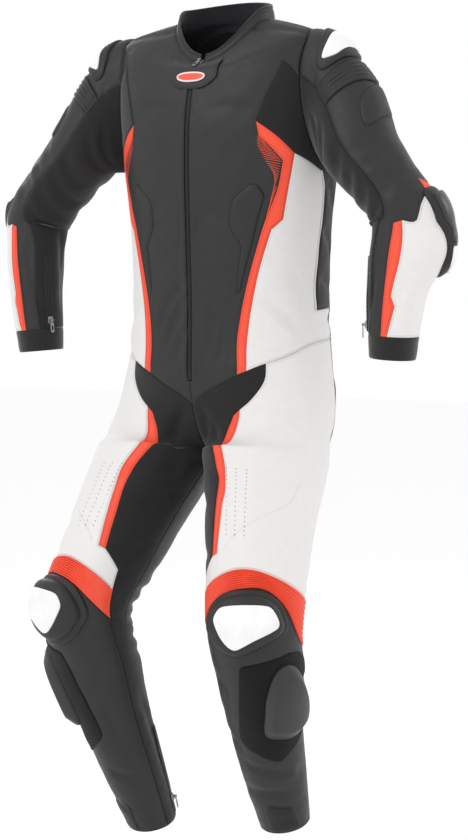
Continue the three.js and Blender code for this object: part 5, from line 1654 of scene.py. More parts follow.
BODY_CREASES = {
    None: (
        (0.32, 6, 0.42, -19, 3, 7, -1.6), (0.30, -20, 0.36, -40, 2, 6, -1.2),
        (0.34, -396, 0.44, -459, 6, 9, -2.2), (0.23, -443, 0.38, -490, 5, 10, -2.6),
        (0.25, -470, 0.36, -514, 4, 8, 1.3), (0.24, -534, 0.44, -520, -3, 5, -1.4),
        (0.50, -250, 0.58, -300, 4, 9, -2.0), (0.50, -330, 0.60, -372, 5, 10, -2.4),
        (0.49, -410, 0.62, -436, 5, 9, -2.2), (0.47, -470, 0.68, -486, 5, 9, -2.4),
        (0.62, -300, 0.80, -318, 8, 14, -1.6), (0.66, -372, 0.92, -392, 8, 13, -2.2),
        (0.62, -424, 1.0, -440, 8, 10, -2.6), (0.64, -462, 1.0, -466, 5, 9, -2.4),
        (0.68, -504, 0.98, -516, 6, 11, -2.2), (0.78, -60, 0.72, -190, 14, 16, -2.2),
        (0.03, -600, 0.10, -640, 4, 7, -1.8), (0.03, -622, 0.19, -690, 8, 8, -2.4),
        (0.17, -737, 0.22, -788, 5, 9, -2.2), (0.02, -700, 0.10, -742, 5, 9, -2.4),
        (0.02, -760, 0.12, -806, 6, 10, -2.2), (0.03, -850, 0.14, -872, 4, 8, -1.8),
        (0.28, -600, 0.40, -640, 9, 14, -2.2), (0.30, -665, 0.48, -700, 9, 13, -1.8),
        (0.46, -640, 0.62, -668, 7, 12, -2.2), (0.34, -812, 0.52, -842, -6, 10, -2.0),
        (0.44, -850, 0.60, -866, -5, 9, -2.4), (0.22, -872, 0.40, -868, 4, 6, -1.2),
        (0.62, -560, 0.92, -606, 14, 16, -2.6), (0.60, -672, 0.96, -694, 14, 11, -3.6),
        (0.66, -716, 0.98, -724, 9, 9, -2.2), (0.62, -790, 0.90, -806, 9, 12, -2.2),
        (0.62, -862, 0.94, -874, 8, 10, -2.8), (0.60, -902, 0.98, -906, 7, 8, -3.4),
        (0.62, -934, 0.99, -932, 5, 7, -3.6), (0.62, -960, 0.96, -952, 4, 6, -2.8),
        (0.62, -1004, 0.98, -984, -5, 8, -3.0), (0.64, -1030, 1.0, -1012, -6, 9, -2.2),
        (0.90, -1060, 0.84, -1190, 7, 10, -2.2), (0.99, -1080, 0.95, -1230, -6, 9, -2.0),
        (0.64, -1140, 0.80, -1166, 5, 10, -1.8), (0.62, -1216, 0.88, -1232, 5, 9, -2.0),
        (0.64, -1268, 0.86, -1262, -3, 6, -1.6), (0.50, -1040, 0.60, -1052, 4, 8, -1.6),
        (0.10, -1010, 0.19, -1064, 7, 9, -2.0), (0.08, -1120, 0.22, -1150, 5, 9, -1.8),
        (0.46, -1200, 0.58, -1216, 4, 8, -2.2),
    ),
    Side.LEFT: (
        (0.068, -443, 0.054, -538, 4, 7, -2.6), (0.098, -459, 0.078, -549, 4, 7, -2.8),
        (0.124, -490, 0.114, -549, 3, 6, -2.2), (0.083, -450, 0.066, -546, 4, 5, 1.4),
        (0.024, -588, 0.034, -640, 3, 6, -2.2), (0.20, -1168, 0.42, -1195, -4, 7, -2.6),
        (0.24, -1184, 0.49, -1206, -4, 5, 1.3), (0.11, -1228, 0.44, -1236, 5, 8, -2.6),
        (0.05, -120, 0.17, -150, 7, 16, -1.5), (0.04, -300, 0.11, -330, 8, 14, -1.5),
    ),
    Side.RIGHT: (
        (0.010, -412, 0.104, -492, 6, 8, -3.0), (0.012, -443, 0.076, -527, 5, 7, -2.6),
        (0.012, -428, 0.09, -508, 6, 5, 1.5), (0.010, -491, 0.042, -550, 4, 6, -2.0),
        (0.01, -589, 0.092, -647, 5, 7, -2.6), (0.092, -647, 0.108, -753, 6, 8, -2.2),
        (0.094, -696, 0.042, -774, 7, 8, -2.4), (0.156, -1069, 0.132, -1163, 5, 8, -2.4),
        (0.262, -1193, 0.114, -1207, 5, 8, -2.6), (0.25, -1268, 0.40, -1254, 3, 7, -1.8),
        (0.06, -110, 0.16, -170, 9, 18, -1.5), (0.03, -286, 0.12, -300, 7, 14, -1.4),
    ),
}
ARM_CREASES = (
    (0.10, 150, 0.24, 160, 4, 8, -2.0), (0.08, 172, 0.24, 182, 4, 8, -2.6),
    (0.06, 192, 0.25, 206, 4, 7, -2.8),
    (0.09, 212, 0.26, 226, -3, 7, -2.4), (0.13, 182, 0.26, 194, 3, 5, 1.4),
    (-0.20, 150, -0.06, 166, 5, 9, -1.6),
    (-0.22, 190, -0.05, 206, 4, 9, -1.8), (0.26, 132, 0.44, 158, 8, 9, -3.0),
    (0.28, 166, 0.50, 190, 7, 9, -3.4),
    (0.27, 198, 0.52, 216, 5, 8, -3.6), (0.28, 226, 0.50, 240, 4, 7, -3.0),
    (0.30, 252, 0.48, 262, -4, 7, -2.6),
    (0.34, 286, 0.40, 420, 9, 9, -2.6), (0.50, 262, 0.56, 408, -10, 10, -2.6),
    (0.66, 250, 0.62, 420, 8, 9, -2.2),
    (0.30, 40, 0.44, 70, 9, 9, -3.0), (0.28, 80, 0.46, 106, 8, 10, -3.0), (0.52, 40, 0.70, 60, 8, 10, -3.0),
    (0.52, 92, 0.72, 112, 8, 10, -3.0), (0.50, 140, 0.72, 162, 7, 9, -2.6),
    (0.54, 196, 0.74, 206, 6, 8, -2.6),
    (0.16, 330, 0.21, 420, 5, 8, -1.6), (0.02, 350, 0.05, 424, 5, 9, -1.8),
    (-0.16, 340, -0.14, 420, -5, 9, -1.8),
    (0.29, 320, 0.30, 430, 3, 7, -1.8), (0.18, 12, 0.21, 40, 3, 7, -1.4), (-0.16, 20, -0.06, 12, 4, 9, -1.4),
)


CREASE_GAIN = 1.5


def creases(chart: Chart) -> list[Relief]:
    """The creases and slight unevenness of a chart's cloth."""
    if isinstance(chart, BodyChart):
        rows = (*BODY_CREASES[None], *BODY_CREASES[Side(chart.sign)])
    else:
        rows = ARM_CREASES
    return [Ripples(), *(Crease(*row[:-1], row[-1] * CREASE_GAIN) for row in rows)]


@dataclass(frozen=True)
class Halves(Relief):
    """The creases of both halves of the body, on a chart that spans them."""

    def height(self, chart: Chart, p: Array, edge: Array) -> Array:
        """Each half's own heights."""
        s, sign = halved(p[:, 0])
        q = np.stack([s, p[:, 1]], axis=-1)
        total = np.zeros(len(p))
        for side in Side:
            mine = sign == side.value
            total[mine] = reliefs(BODY[side], q[mine], edge[mine], creases(BODY[side]))
        return total


# The suit: lines and outlines on its panels

CHEST_PAD = rounded(((0.186, -261), (0.142, -279), (0.128, -290), (0.122, -322), (0.136, -337), (0.162, -358),
                     (0.156, -383), (0.146, -433), (0.158, -430), (0.184, -383), (0.200, -356), (0.222, -309),
                     (0.238, -279), (0.208, -261)), 120, tight=0.15)
BICEPS_PAD = rounded(((-0.064, 107), (0.02, 105), (0.114, 111), (0.131, 140), (0.04, 136), (-0.047, 132)), 60,
                     330)
ANKLE_PATCH = straight(((0.235, -1264), (0.273, -1250), (0.405, -1258), (0.458, -1300)))
THIGH_LINE = seam(((0.44, -742), (0.422, -774), (0.34, -806), (0.247, -842), (0.216, -858)))
YOKE_LINE = straight(((0.41, -20), (0.29, -47)))
BACK_YOKE = seam(((0.66, -112), (0.8, -124), (1.0, -128), (1.2, -124), (1.34, -112)))
HUMP = rounded(((0.84, -16), (1.0, -8), (1.16, -16), (1.20, -90), (1.17, -180), (1.09, -246), (1.0, -262),
                (0.91, -246), (0.83, -180), (0.80, -90)), 120)
SEAT_PAD = rounded(((0.66, -560), (0.80, -544), (0.94, -560), (0.95, -620), (0.88, -656), (0.76, -658),
                    (0.67, -630)), 80)
HOOK_PANEL = rounded(((0.272, -1000), (0.244, -1048), (0.215, -1120), (0.240, -1138), (0.288, -1151),
                      (0.347, -1165), (0.390, -1170), (0.438, -1160), (0.520, -1146), (0.575, -1128),
                      (0.582, -1070), (0.578, -1010), (0.530, -988), (0.470, -984), (0.400, -988),
                      (0.320, -994)), 130, tight=0.3)
PUCK = rounded(((0.338, -1112), (0.342, -1074), (0.350, -1048), (0.375, -1020), (0.408, -1004),
                (0.445, -1000),
                (0.480, -1009), (0.515, -1038), (0.546, -1083), (0.540, -1116), (0.480, -1130),
                (0.405, -1127)), 84)
PUCK_CENTRE = (0.440, -1066)
KNEE_RING = rounded(((0.145, -947), (0.168, -930), (0.215, -914), (0.262, -907), (0.310, -904), (0.372, -904),
                     (0.423, -914), (0.447, -929), (0.457, -944), (0.430, -958), (0.348, -977), (0.273, -987),
                     (0.205, -978), (0.165, -962)), 108)
KNEE_PLATE = rounded(((0.226, -940), (0.236, -931), (0.255, -926), (0.312, -923), (0.372, -922),
                      (0.392, -928),
                      (0.405, -938), (0.398, -945), (0.342, -957), (0.292, -968), (0.270, -966),
                      (0.247, -956)), 84,
                     tight=0.4)
KNEE_CENTRE = (0.310, -944)
SHOULDER_FRAME = rounded(((0.155, 32), (0.090, 24), (0.0, 22), (-0.090, 24), (-0.155, 32), (-0.150, 48),
                          (-0.085, 62), (0.0, 71), (0.085, 62), (0.150, 48)), 84, 330)
SHOULDER_PLATE = rounded(((0.128, 40), (0.060, 35), (-0.060, 35), (-0.128, 40), (-0.088, 54), (0.0, 61),
                          (0.088, 55)), 72, 330, 0.35)
SHOULDER_CENTRE = (0.0, 47)
ELBOW_FRAME = rounded(((0.085, 240), (-0.02, 235), (-0.16, 238), (-0.20, 262), (-0.185, 318), (-0.125, 340),
                       (-0.055, 340), (0.005, 320), (0.020, 280), (0.072, 258)), 96, 330, 0.4)
ELBOW_SHELL = rounded(((0.062, 246), (-0.02, 242), (-0.145, 245), (-0.178, 264), (-0.168, 286), (-0.08, 291),
                       (0.0, 286), (0.008, 272), (0.052, 256)), 72, 330, 0.35)
ELBOW_PLATE = rounded(((-0.004, 292), (-0.08, 297), (-0.164, 292), (-0.160, 312), (-0.118, 330),
                       (-0.060, 330),
                       (-0.010, 314)), 72, 330, 0.35)
ELBOW_CENTRE = (-0.075, 287)
ELBOW_EDGE = seam(((-0.088, 293), (-0.092, 310), (-0.088, 327)), 330)
ELBOW_TIP = straight(((0.060, 226), (-0.045, 238), (0.064, 241), (0.060, 226)), 330)[:-1]
HATCH_FRONT = straight(((0.1985, -184), (0.201, -199), (0.236, -227), (0.2655, -245), (0.2705, -257),
                        (0.2535, -302), (0.246, -312)))
HATCH_REAR = straight(((0.205, -186), (0.2905, -225), (0.2785, -268), (0.2475, -312)))
SIDE_MESH = seam(((0.498, -264, CORNER), (0.504, -300), (0.488, -366), (0.471, -418), (0.475, -455, CORNER),
                  (0.594, -451, CORNER), (0.594, -400), (0.597, -340), (0.597, -264, CORNER),
                  (0.498, -264, CORNER)))[:-1]
PERFORATED = ((0.232, 0.262, 0.292), (-736, -836), 16)
HATCH_LINES, HATCH_SLANT, HATCH_HALF, HATCH_RISE = 34, 3, 0.42, 0.25
HOLE_RADIUS, HOLE_RISE = 0.85, 0.25
ANKLE_CLOTH = straight(((0.240, -1266), (0.276, -1253), (0.402, -1261), (0.448, -1301), (0.448, -1306),
                        (0.240, -1306), (0.240, -1266)))[:-1]
KNEE_STEPS = ((1.0, 0.3), (0.995, 2.6), (0.975, 4.8), (0.94, 6.4), (0.90, 6.9), (0.87, 6.2), (0.845, 6.6),
              (0.82, 10.0), (0.785, 13.4), (0.74, 16.2), (0.69, 18.0), (0.63, 19.0), (0.55, 19.4),
              (0.3, 19.4))
PUCK_STEPS = ((1.0, 2.6), (0.995, 4.6), (0.975, 6.4), (0.92, 9.4), (0.74, 17.0), (0.71, 18.2), (0.66, 18.8),
              (0.5, 19.2), (0.3, 19.5), (0.08, 19.6))
FRAME_STEPS = ((1.0, 0.3), (0.99, 2.2), (0.96, 4.0), (0.91, 5.0), (0.84, 5.4), (0.78, 5.0), (0.74, 5.4),
               (0.6, 7.0), (0.3, 7.4))
ELBOW_STEPS = ((1.0, 0.3), (0.99, 2.6), (0.96, 4.8), (0.92, 6.4), (0.86, 8.2), (0.78, 9.8), (0.6, 11.0),
               (0.3, 12.0))
BADGE = Oval((0, -42), (25, 12), 2.3)


@dataclass(frozen=True)
class Panel:
    """A panel that both sides of the suit have.

    Attributes:
        name: The solid's name, without its side.
        seams: The seams round it, in order.
        finish: Its finish.
        slot: Its material slot's name.
        thread: Its stitches' finish.
        sewn: Which of its seams have a row of stitches on it.
        lines: Sewn lines inside it.
        pads: Padded outlines inside it.
        extra: What else shapes it.
        arm: Whether it lies on the sleeve.
        held: How its cloth is held.
    """

    name: str
    seams: Sequence[Array]
    finish: Finish
    slot: str
    thread: Optional[Finish] = None
    sewn: Sequence[Array] = ()
    lines: Sequence[Array] = ()
    pads: Sequence[Array] = ()
    extra: Sequence[Relief] = ()
    arm: bool = False
    held: Held = Held.HUNG

    @property
    def width(self) -> float:
        """The pattern's millimetres for one unit across."""
        return 330.0 if self.arm else 450.0


def torso_panels() -> list[Panel]:
    """The panels between the neck and the waist that have a left and a right."""
    front = (S["zip"], S["neck_front"], S["shoulder"], armhole_on_body(0, TURN_FRONT), S["front_yoke"],
             S["front_edge"], S["stripe_inner"], S["front_low"], S["front_foot"])
    under = (armhole_on_body(TURN_FRONT, TURN_SIDE), S["back_upper"], S["mesh_low"], S["mesh_front"],
             S["white_top"], S["stripe_top"], S["front_edge"], S["front_yoke"])
    white = (S["white_top"], S["mesh_front"], S["mesh_low"], S["back_lower"], S["hip"], S["white_low"],
             S["stripe_outer"])
    return [
        Panel("front", front, Finish.BLACK, "black_leather", Finish.BLACK_THREAD,
              (S["shoulder"], armhole_on_body(0, TURN_FRONT), S["front_yoke"], S["front_edge"],
               S["stripe_inner"]),
              (YOKE_LINE,), (CHEST_PAD,), (Placket(),)),
        Panel("side_stripe", (S["stripe_top"], S["stripe_outer"], S["stripe_low"], S["stripe_inner"]),
              Finish.RED,
              "red_leather", Finish.RED_THREAD, (S["stripe_outer"], S["stripe_inner"])),
        Panel("side_white", white, Finish.WHITE, "white_leather", Finish.WHITE_THREAD,
              (S["white_top"], S["mesh_front"], S["back_lower"], S["hip"])),
        Panel("underarm_stretch", under, Finish.STRETCH, "stretch_textile", held=Held.STRETCHED),
    ]


def leg_panels() -> list[Panel]:
    """The panels below the waist."""
    crotch = (S["front_low"], S["stripe_low"], S["white_low"], S["crotch_edge"], S["thigh_top"],
              S["thigh_inner"],
              S["white_tongue"], S["knee_inner"], S["calf_in"], S["inseam"], S["centre_front"])
    white = (S["hip"], S["thigh_rear"], S["knee_top"], S["white_tongue"], S["thigh_end"], S["thigh_outer"],
             S["crotch_edge"])
    seat = (S["waist_back"], S["centre_back"], turned(S["inseam"]), S["knee_pit"], S["knee_outer"],
            S["thigh_rear"])
    calf = (S["knee_pit"], turned(S["calf_in"]), turned(S["shin_in"]), S["hem_calf"], S["shin_out"])
    return [
        Panel("crotch_stretch", crotch, Finish.STRETCH, "stretch_textile", held=Held.STRETCHED),
        Panel("thigh_stripe", (S["thigh_top"], S["thigh_inner"], S["thigh_end"], S["thigh_outer"]),
              Finish.RED,
              "red_leather", Finish.RED_THREAD, (S["thigh_inner"], S["thigh_outer"])),
        Panel("thigh_white", white, Finish.WHITE, "white_leather", Finish.WHITE_THREAD,
              (S["hip"], S["thigh_rear"], S["thigh_outer"], S["crotch_edge"], S["knee_top"],
               S["white_tongue"]),
              (THIGH_LINE,), (), (Smocking(0.452, -512, -590),)),
        Panel("seat_thigh_back", seat, Finish.BLACK, "black_leather", Finish.BLACK_THREAD,
              (S["waist_back"], S["centre_back"], S["thigh_rear"], S["knee_pit"]), (), (SEAT_PAD,)),
        Panel("calf", calf, Finish.STRETCH, "stretch_textile", held=Held.STRETCHED),
        Panel("shin", (S["knee_low"], S["shin_out"], S["hem_shin"], S["shin_in"]), Finish.BLACK,
              "black_leather",
              Finish.BLACK_THREAD, (S["knee_low"], S["shin_out"], S["shin_in"], S["hem_shin"]),
              (ANKLE_PATCH,)),
    ]


def arm_panels() -> list[Panel]:
    """The sleeve's panels."""
    cap = (armhole_on_sleeve(-0.25, TURN_FRONT), T["cap_front"], T["rib_top"], T["cap_back"])
    leather = (T["rib_low"], T["leather_front"], T["cuff_leather"], T["stripe_inner"], T["stripe_top"],
               T["elbow"],
               T["upper_back"])
    stretch = (armhole_on_sleeve(TURN_FRONT, TURN_BACK), turned(T["cap_back"]), turned(T["rib_back"]),
               turned(T["upper_back"]), turned(T["white_back"]), T["cuff_stretch"], T["leather_front"],
               T["rib_front"], T["cap_front"])
    slit = straight(((-0.25, CUFF_TOP), (-0.25, WRIST)), 330)
    wrist = straight(((-0.25, WRIST), (0.75, WRIST)), 330)
    cuff = (slit, wrist, turned(slit), T["cuff_stretch"], T["cuff_leather"], T["cuff_stripe"],
            T["cuff_white"])
    return [
        Panel("shoulder_cap", cap, Finish.BLACK, "black_leather", Finish.BLACK_THREAD,
              (cap[0], T["cap_front"], T["rib_top"]), arm=True),
        Panel("sleeve_leather", leather, Finish.BLACK, "black_leather", Finish.BLACK_THREAD,
              (T["rib_low"], T["leather_front"], T["elbow"], T["upper_back"], T["stripe_inner"]), (),
              (BICEPS_PAD,), arm=True),
        Panel("sleeve_stretch", stretch, Finish.STRETCH, "stretch_textile", arm=True, held=Held.STRETCHED),
        Panel("cuff", cuff, Finish.NEOPRENE, "cuff_neoprene", arm=True, held=Held.STRETCHED),
        Panel("forearm_stripe", (T["stripe_top"], T["stripe_outer"], T["cuff_stripe"], T["stripe_inner"]),
              Finish.RED, "red_leather", Finish.RED_THREAD, (T["stripe_outer"], T["stripe_inner"]), arm=True),
        Panel("forearm_white", (T["elbow"], T["white_back"], T["cuff_white"], T["stripe_outer"]),
              Finish.WHITE,
              "white_leather", Finish.WHITE_THREAD, (T["elbow"], T["white_back"], T["stripe_outer"]),
              arm=True),
    ]


@dataclass(frozen=True)
class Zip:
    """A zip that lies on a panel.

    Attributes:
        name: The first part of its solids' names.
        across: Its place across the chart.
        half: Half the tape's width, in millimetres.
        start, end: From its top end to its closed end.
        slider: Where the closed slider stands.
        arm: Whether it lies on the sleeve.
    """

    name: str
    across: float
    half: float
    start: float
    end: float
    slider: float
    arm: bool


CUFF_ZIP = Zip("cuff", 0.44, 5.4, 322, 434, 424, True)
ANKLE_ZIP = Zip("ankle", 0.93, 5.4, -1150, -1300, -1274, False)
ZIP_THICK, MAIN_SLIDER, PIN_RISE = 1.6, 2.5, 6.4
TEETH_PITCH, TEETH_SWING = 1.35, 0.9
FLAP_HALF, FLAP_TOP, FLAP_SIDE, FLAP_DROP = 46.0, -4.0, -46.0, 30
COLLAR_COLUMNS = 181


def frame_on(chart: Chart, across: float, along: float, lower: float, base: float) -> tuple[Array, Array]:
    """The axes and the place of a small piece on a surface.

    Args:
        chart: The surface.
        across, along: Its place on the pattern.
        lower: A place along that lies down the zip.
        base: How far it stands out.

    Returns:
        Rows for the pin's direction, down the zip and out of the cloth, and the origin.
    """
    at = np.array([[across, along]])
    place, out = chart.place(at)[0], chart.normal(at)[0]
    down = chart.place(np.array([[across, lower]]))[0] - place
    down = unit(down - out * (down @ out))
    across_pin = np.cross(down, out)
    plumb = unit(np.array([0, 0, -1.0]) + across_pin * across_pin[2])
    if plumb @ out > 0:
        down = plumb
    return np.stack([across_pin, down, np.cross(across_pin, down)]), place + out * base


def slider_mesh() -> Mesh:
    """A zip slider: a waisted body, a bridge and two ears with the pin between them."""
    body = rounded_block((8.4, 12, 2.8), (0, 0, 1.7), 1.1)
    waist = 1 - 0.16 * np.exp(-(body.points[:, 1] / 2.5) ** 2)
    body.points[:, 0] *= waist
    ears = [rounded_block((1.0, 3.8, 5.4), (x, 0, 5.6), 0.45) for x in (-2.8, 2.8)]
    return joined([body, *ears, pin(0.85, 6.2, PIN_RISE)])


def tab_mesh() -> Mesh:
    """A pull tab: a pierced plate, rounded at its end, with a ring round the pin."""
    angle = 2 * np.pi * np.arange(32) / 32
    x, y = signed_power(np.cos(angle), 0.5), signed_power(np.sin(angle), 0.5)
    outer = np.stack([3.2 * x, 12.1 + 8.9 * y], axis=-1)
    inner = np.stack([1.6 * x, 13.2 + 3.7 * y], axis=-1)
    rings = []
    for ring, inset, height in ((outer, 0.3, -0.7), (outer, 0, -0.4), (outer, 0, 0.4), (outer, 0.3, 0.7),
                                (inner, -0.2, 0.7), (inner, 0, 0.5), (inner, 0, -0.5), (inner, -0.2, -0.7)):
        middle = ring.mean(0)
        moved = middle + (ring - middle) * (1 - inset / 3.2)
        rings.append(np.concatenate([moved, np.full((32, 1), PIN_RISE + height)], axis=1))
    quads = grid_faces(9, 32, True) % (8 * 32)
    plate = Mesh(np.concatenate(rings), [quads])
    turn = 2 * np.pi * np.arange(16) / 16
    loops = [(1.25, -1.8), (1.9, -1.8), (2.1, -1.6), (2.1, 1.6), (1.9, 1.8), (1.25, 1.8)]
    points = [np.stack([np.full(16, at), radius * np.cos(turn), radius * np.sin(turn) + PIN_RISE], axis=-1)
              for radius, at in loops]
    ring = Mesh(np.concatenate(points), [grid_faces(7, 16, True) % 96])
    neck = rounded_block((3.6, 3.0, 1.4), (0, 3.0, PIN_RISE), 0.3)
    return joined([ring, neck, plate])


def dot_form(radius: float, rise: float) -> tuple[Array, Array, Array]:
    """A small round lens in the X and Y plane, as one form to scatter."""
    angle = 2 * np.pi * np.arange(8) / 8
    ring = np.stack([radius * np.cos(angle), radius * np.sin(angle), np.zeros(8)], axis=-1)
    low = ring * 0.7 - np.array([0, 0, rise])
    points = np.concatenate([low, ring, [(0, 0, -rise), (0, 0, rise)]])
    k = np.arange(8)
    after = np.roll(k, -1)
    fans = np.concatenate([np.stack([after, k, np.full(8, 16)], axis=-1),
                           np.stack([k + 8, after + 8, np.full(8, 17)], axis=-1)])
    return points, grid_faces(2, 8, True), fans


class Suit:
    """Builds the suit's pieces."""

    def __init__(self, dresser: Dresser) -> None:
        """Takes what turns meshes into pieces."""
        self.dresser = dresser
        self.stitches: dict[Finish, list[Mesh]] = {}
        self.thread = Thread()

    def build(self) -> None:
        """Builds every piece."""
        self.back()
        self.collar()
        self.flap()
        self.main_zip()
        for panel in (*torso_panels(), *leg_panels(), *arm_panels()):
            self.panel(panel)
        for side in Side:
            self.knee(side)
            self.arm(side)
            self.trims(side)
            self.zip(CUFF_ZIP, side)
            self.zip(ANKLE_ZIP, side)
        self.sewing()

    def panel(self, panel: Panel) -> None:
        """Cuts a panel once and makes it on both sides."""
        charts = ARM if panel.arm else BODY
        loop = loop_of(*panel.seams)
        outlines = [*panel.lines, *(np.concatenate([pad, pad[:1]]) for pad in panel.pads)]
        pattern = cut(charts[Side.LEFT], loop, outlines)
        wall = LEATHER if "leather" in panel.slot else STRETCH
        for side in Side:
            chart = charts[side]
            parts = [*creases(chart), *panel.extra, *(Stitched(line) for line in panel.lines),
                     *(Pad(pad, 2.6) for pad in panel.pads)]
            mesh = shell(chart, pattern, wall, parts)
            name = f"{panel.name}_{side.label}"
            piece = self.dresser.add(name, mesh, panel.finish, panel.slot, [name], Finish.LINING)
            self.dresser.sheet(piece, chart, pattern, panel.held)
            if panel.thread is not None:
                for line in panel.sewn:
                    self.sew(chart, loop, line, parts, panel.thread)
                for line in panel.lines:
                    self.add_row(chart, line, parts, panel.thread)

    def sew(self, chart: Chart, loop: Array, line: Array, parts: Sequence[Relief], thread: Finish,
            reach: float = STITCH_INSET) -> None:
        """Adds a row of stitches beside a seam, on the panel's side of it."""
        flat = loop * np.array([chart.width, 1.0])
        border = chart.place(loop)
        for way in (reach, -reach):
            row = offset_line(chart, line, way)
            keep = inside(row * [chart.width, 1.0],
                          flat) & (distance(chart.place(row), border, True) > reach * 0.8)
            if keep.sum() > len(row) * 0.5:
                self.add_row(chart, row[keep], parts, thread)
                return

    def add_row(self, chart: Chart, line: Array, parts: Sequence[Relief], thread: Finish) -> None:
        """Adds stitches along a line."""
        self.stitches.setdefault(thread, []).append(self.thread.row(chart, line, parts))

    def back(self) -> None:
        """The back in one piece, with its hump and its yoke's sewn line."""
        centre = straight(((1, -492), (1, NECK)))
        half = loop_of(centre, S["neck_back"], S["shoulder"], armhole_on_body(1, TURN_SIDE), S["back_upper"],
                       S["back_lower"], S["waist_back"])
        left = np.roll(half, -(len(centre) - 1), axis=0)[: len(half) - len(centre) + 2]
        right = left[1:-1][::-1] * [-1, 1] + [2, 0]
        loop = np.concatenate([left, right])
        hump = np.concatenate([HUMP, HUMP[:1]])
        pattern = cut(BACK, loop, (hump, BACK_YOKE))
        parts = [Halves(), Pad(HUMP, 8.0, 26.0), Stitched(BACK_YOKE)]
        mesh = shell(BACK, pattern, LEATHER, parts)
        piece = self.dresser.add("back", mesh, Finish.BLACK, "black_leather", ["back"], Finish.LINING)
        self.dresser.sheet(piece, BACK, pattern, Held.HUNG)
        for line in (S["shoulder"], S["back_upper"], S["waist_back"], S["back_lower"]):
            for seam_line in (line, line * [-1, 1] + [2, 0]):
                self.sew(BACK, loop, seam_line, parts, Finish.BLACK_THREAD)

    def collar(self) -> None:
        """The stand-up collar with its bound rim."""
        start = float(S["neck_front"][0, 0])
        across, rise = np.linspace(start, 2 - start, COLLAR_COLUMNS), np.linspace(-0.12, 0.96, 17)
        p = np.stack(np.meshgrid(across, rise), axis=-1)
        r = rise[:, None]
        lift = -0.9 * np.exp(-((r - 0.0) / 0.08) ** 2) - 0.7 * np.exp(-((r - 0.72) / 0.06) ** 2)
        lift = lift + 0.35 * np.sin(across * 23)[None] * np.sin(np.pi * r)
        # The edge is 0 at the neck seam and in the groove under the rim, so the leather finish paints shade
        # there.
        edge = np.repeat(np.minimum(r, np.abs(r - 0.72)) * 24, len(across), axis=1)
        mesh = band(COLLAR, p, lift, LEATHER, edge)
        piece = self.dresser.add("collar", mesh, Finish.BLACK, "black_leather", ["collar"], Finish.LINING)
        length = np.linalg.norm(np.diff(COLLAR.place(p[0]), axis=0), axis=1).sum()
        float(self.grid_area(p) * MM * MM)
        rim = np.stack([across, np.full(COLLAR_COLUMNS, 0.95)], axis=-1)
        binding = swept(COLLAR, rim, round_section(1.9, 1.7), -1.2)
        self.dresser.add("collar_binding", binding, Finish.NEOPRENE, "cuff_neoprene")
        for at in (0.62, 0.82):
            self.add_row(COLLAR, np.stack([across, np.full(COLLAR_COLUMNS, at)], axis=-1), [],
                         Finish.BLACK_THREAD)

    @staticmethod
    def grid_area(p: Array) -> float:
        """The collar's area on its form, in square millimetres."""
        rows, cols = p.shape[:2]
        places = COLLAR.place(p.reshape(-1, 2)).reshape(rows, cols, 3)
        u, v = np.diff(places, axis=1)[:-1], np.diff(places, axis=0)[:, :-1]
        return float(np.linalg.norm(np.cross(u, v), axis=-1).sum())

    def flap(self) -> None:
        """The flap over the top of the zip, with the plain badge on it."""
        x = np.linspace(-FLAP_HALF, FLAP_HALF, 41)
        low = FLAP_SIDE - FLAP_DROP * (1 - (np.abs(x) / FLAP_HALF) ** 3)
        lower = np.stack([x, low], axis=-1)
        upper = np.stack([x[::-1], np.full(len(x), FLAP_TOP)], axis=-1)
        side = lambda at, a, b: np.stack([np.full(9, at), np.linspace(a, b, 11)[1:-1]], axis=-1)
        loop = np.concatenate([lower, side(FLAP_HALF, FLAP_SIDE, FLAP_TOP), upper,
                               side(-FLAP_HALF, FLAP_TOP, FLAP_SIDE)])
        pattern = cut(CHEST, loop, (), 4.0)
        parts = [Crease(-40, -52, -12, -72, 2, 6, -0.8), Crease(20, -66, 40, -40, 3, 7, -0.7)]
        mesh = shell(CHEST, pattern, 2.2, parts, 1.2)
        piece = self.dresser.add("collar_flap", mesh, Finish.BLACK, "black_leather", ["collar_flap"])
        self.dresser.sheet(piece, CHEST, pattern, Held.HUNG)
        self.add_row(CHEST, seam(np.stack([x * 0.92, low + 4], axis=-1), 1), [Lift(3.4)], Finish.BLACK_THREAD)
        badge = cup(CHEST, BADGE.outline(48), BADGE.centre, dome_profile(1.4, 2.2, 3.2), 2.6)
        self.dresser.add("badge", badge, Finish.RED_RUBBER, "badge_rubber", ["badge"])
        ring = swept(CHEST, BADGE.outline(64), round_section(1.5, 1.1), 4.4, True)
        self.dresser.add("badge_rim", ring, Finish.WHITE, "badge_rubber")

    def main_zip(self) -> None:
        """The main zip's tape, teeth, slider and pull."""
        heights = np.linspace(-561.7, 5.4, 190)
        line = np.stack([np.zeros(190), heights], axis=-1)
        tape = swept(CHEST, line, flat_section(4.3, 0.5), -1.7)
        self.dresser.add("main_zip", tape, Finish.NEOPRENE, "zip_metal", ["main_zip"])
        self.teeth("main_zip", CHEST, line, -0.9)
        self.slider("main", CHEST, (0, MAIN_SLIDER, MAIN_SLIDER - 12, -SEAM_GAP), "")

    def teeth(self, name: str, chart: Chart, line: Array, lift: float) -> None:
        """A zip's teeth, alternately from its left and its right tape."""
        p = resampled(chart, line, TEETH_PITCH)
        normals, along, sideways = frames_along(chart, p, False)
        swing = np.where(np.arange(len(p)) % 2, TEETH_SWING, -TEETH_SWING)[:, None]
        places = chart.place(p) + normals * lift + sideways * swing
        mesh = scattered(stitch_form(4.4, 0.5, 0.75), places, np.stack([sideways, -along, normals], axis=1))
        self.dresser.add(f"{name}_teeth", mesh, Finish.TEETH, "zip_metal")

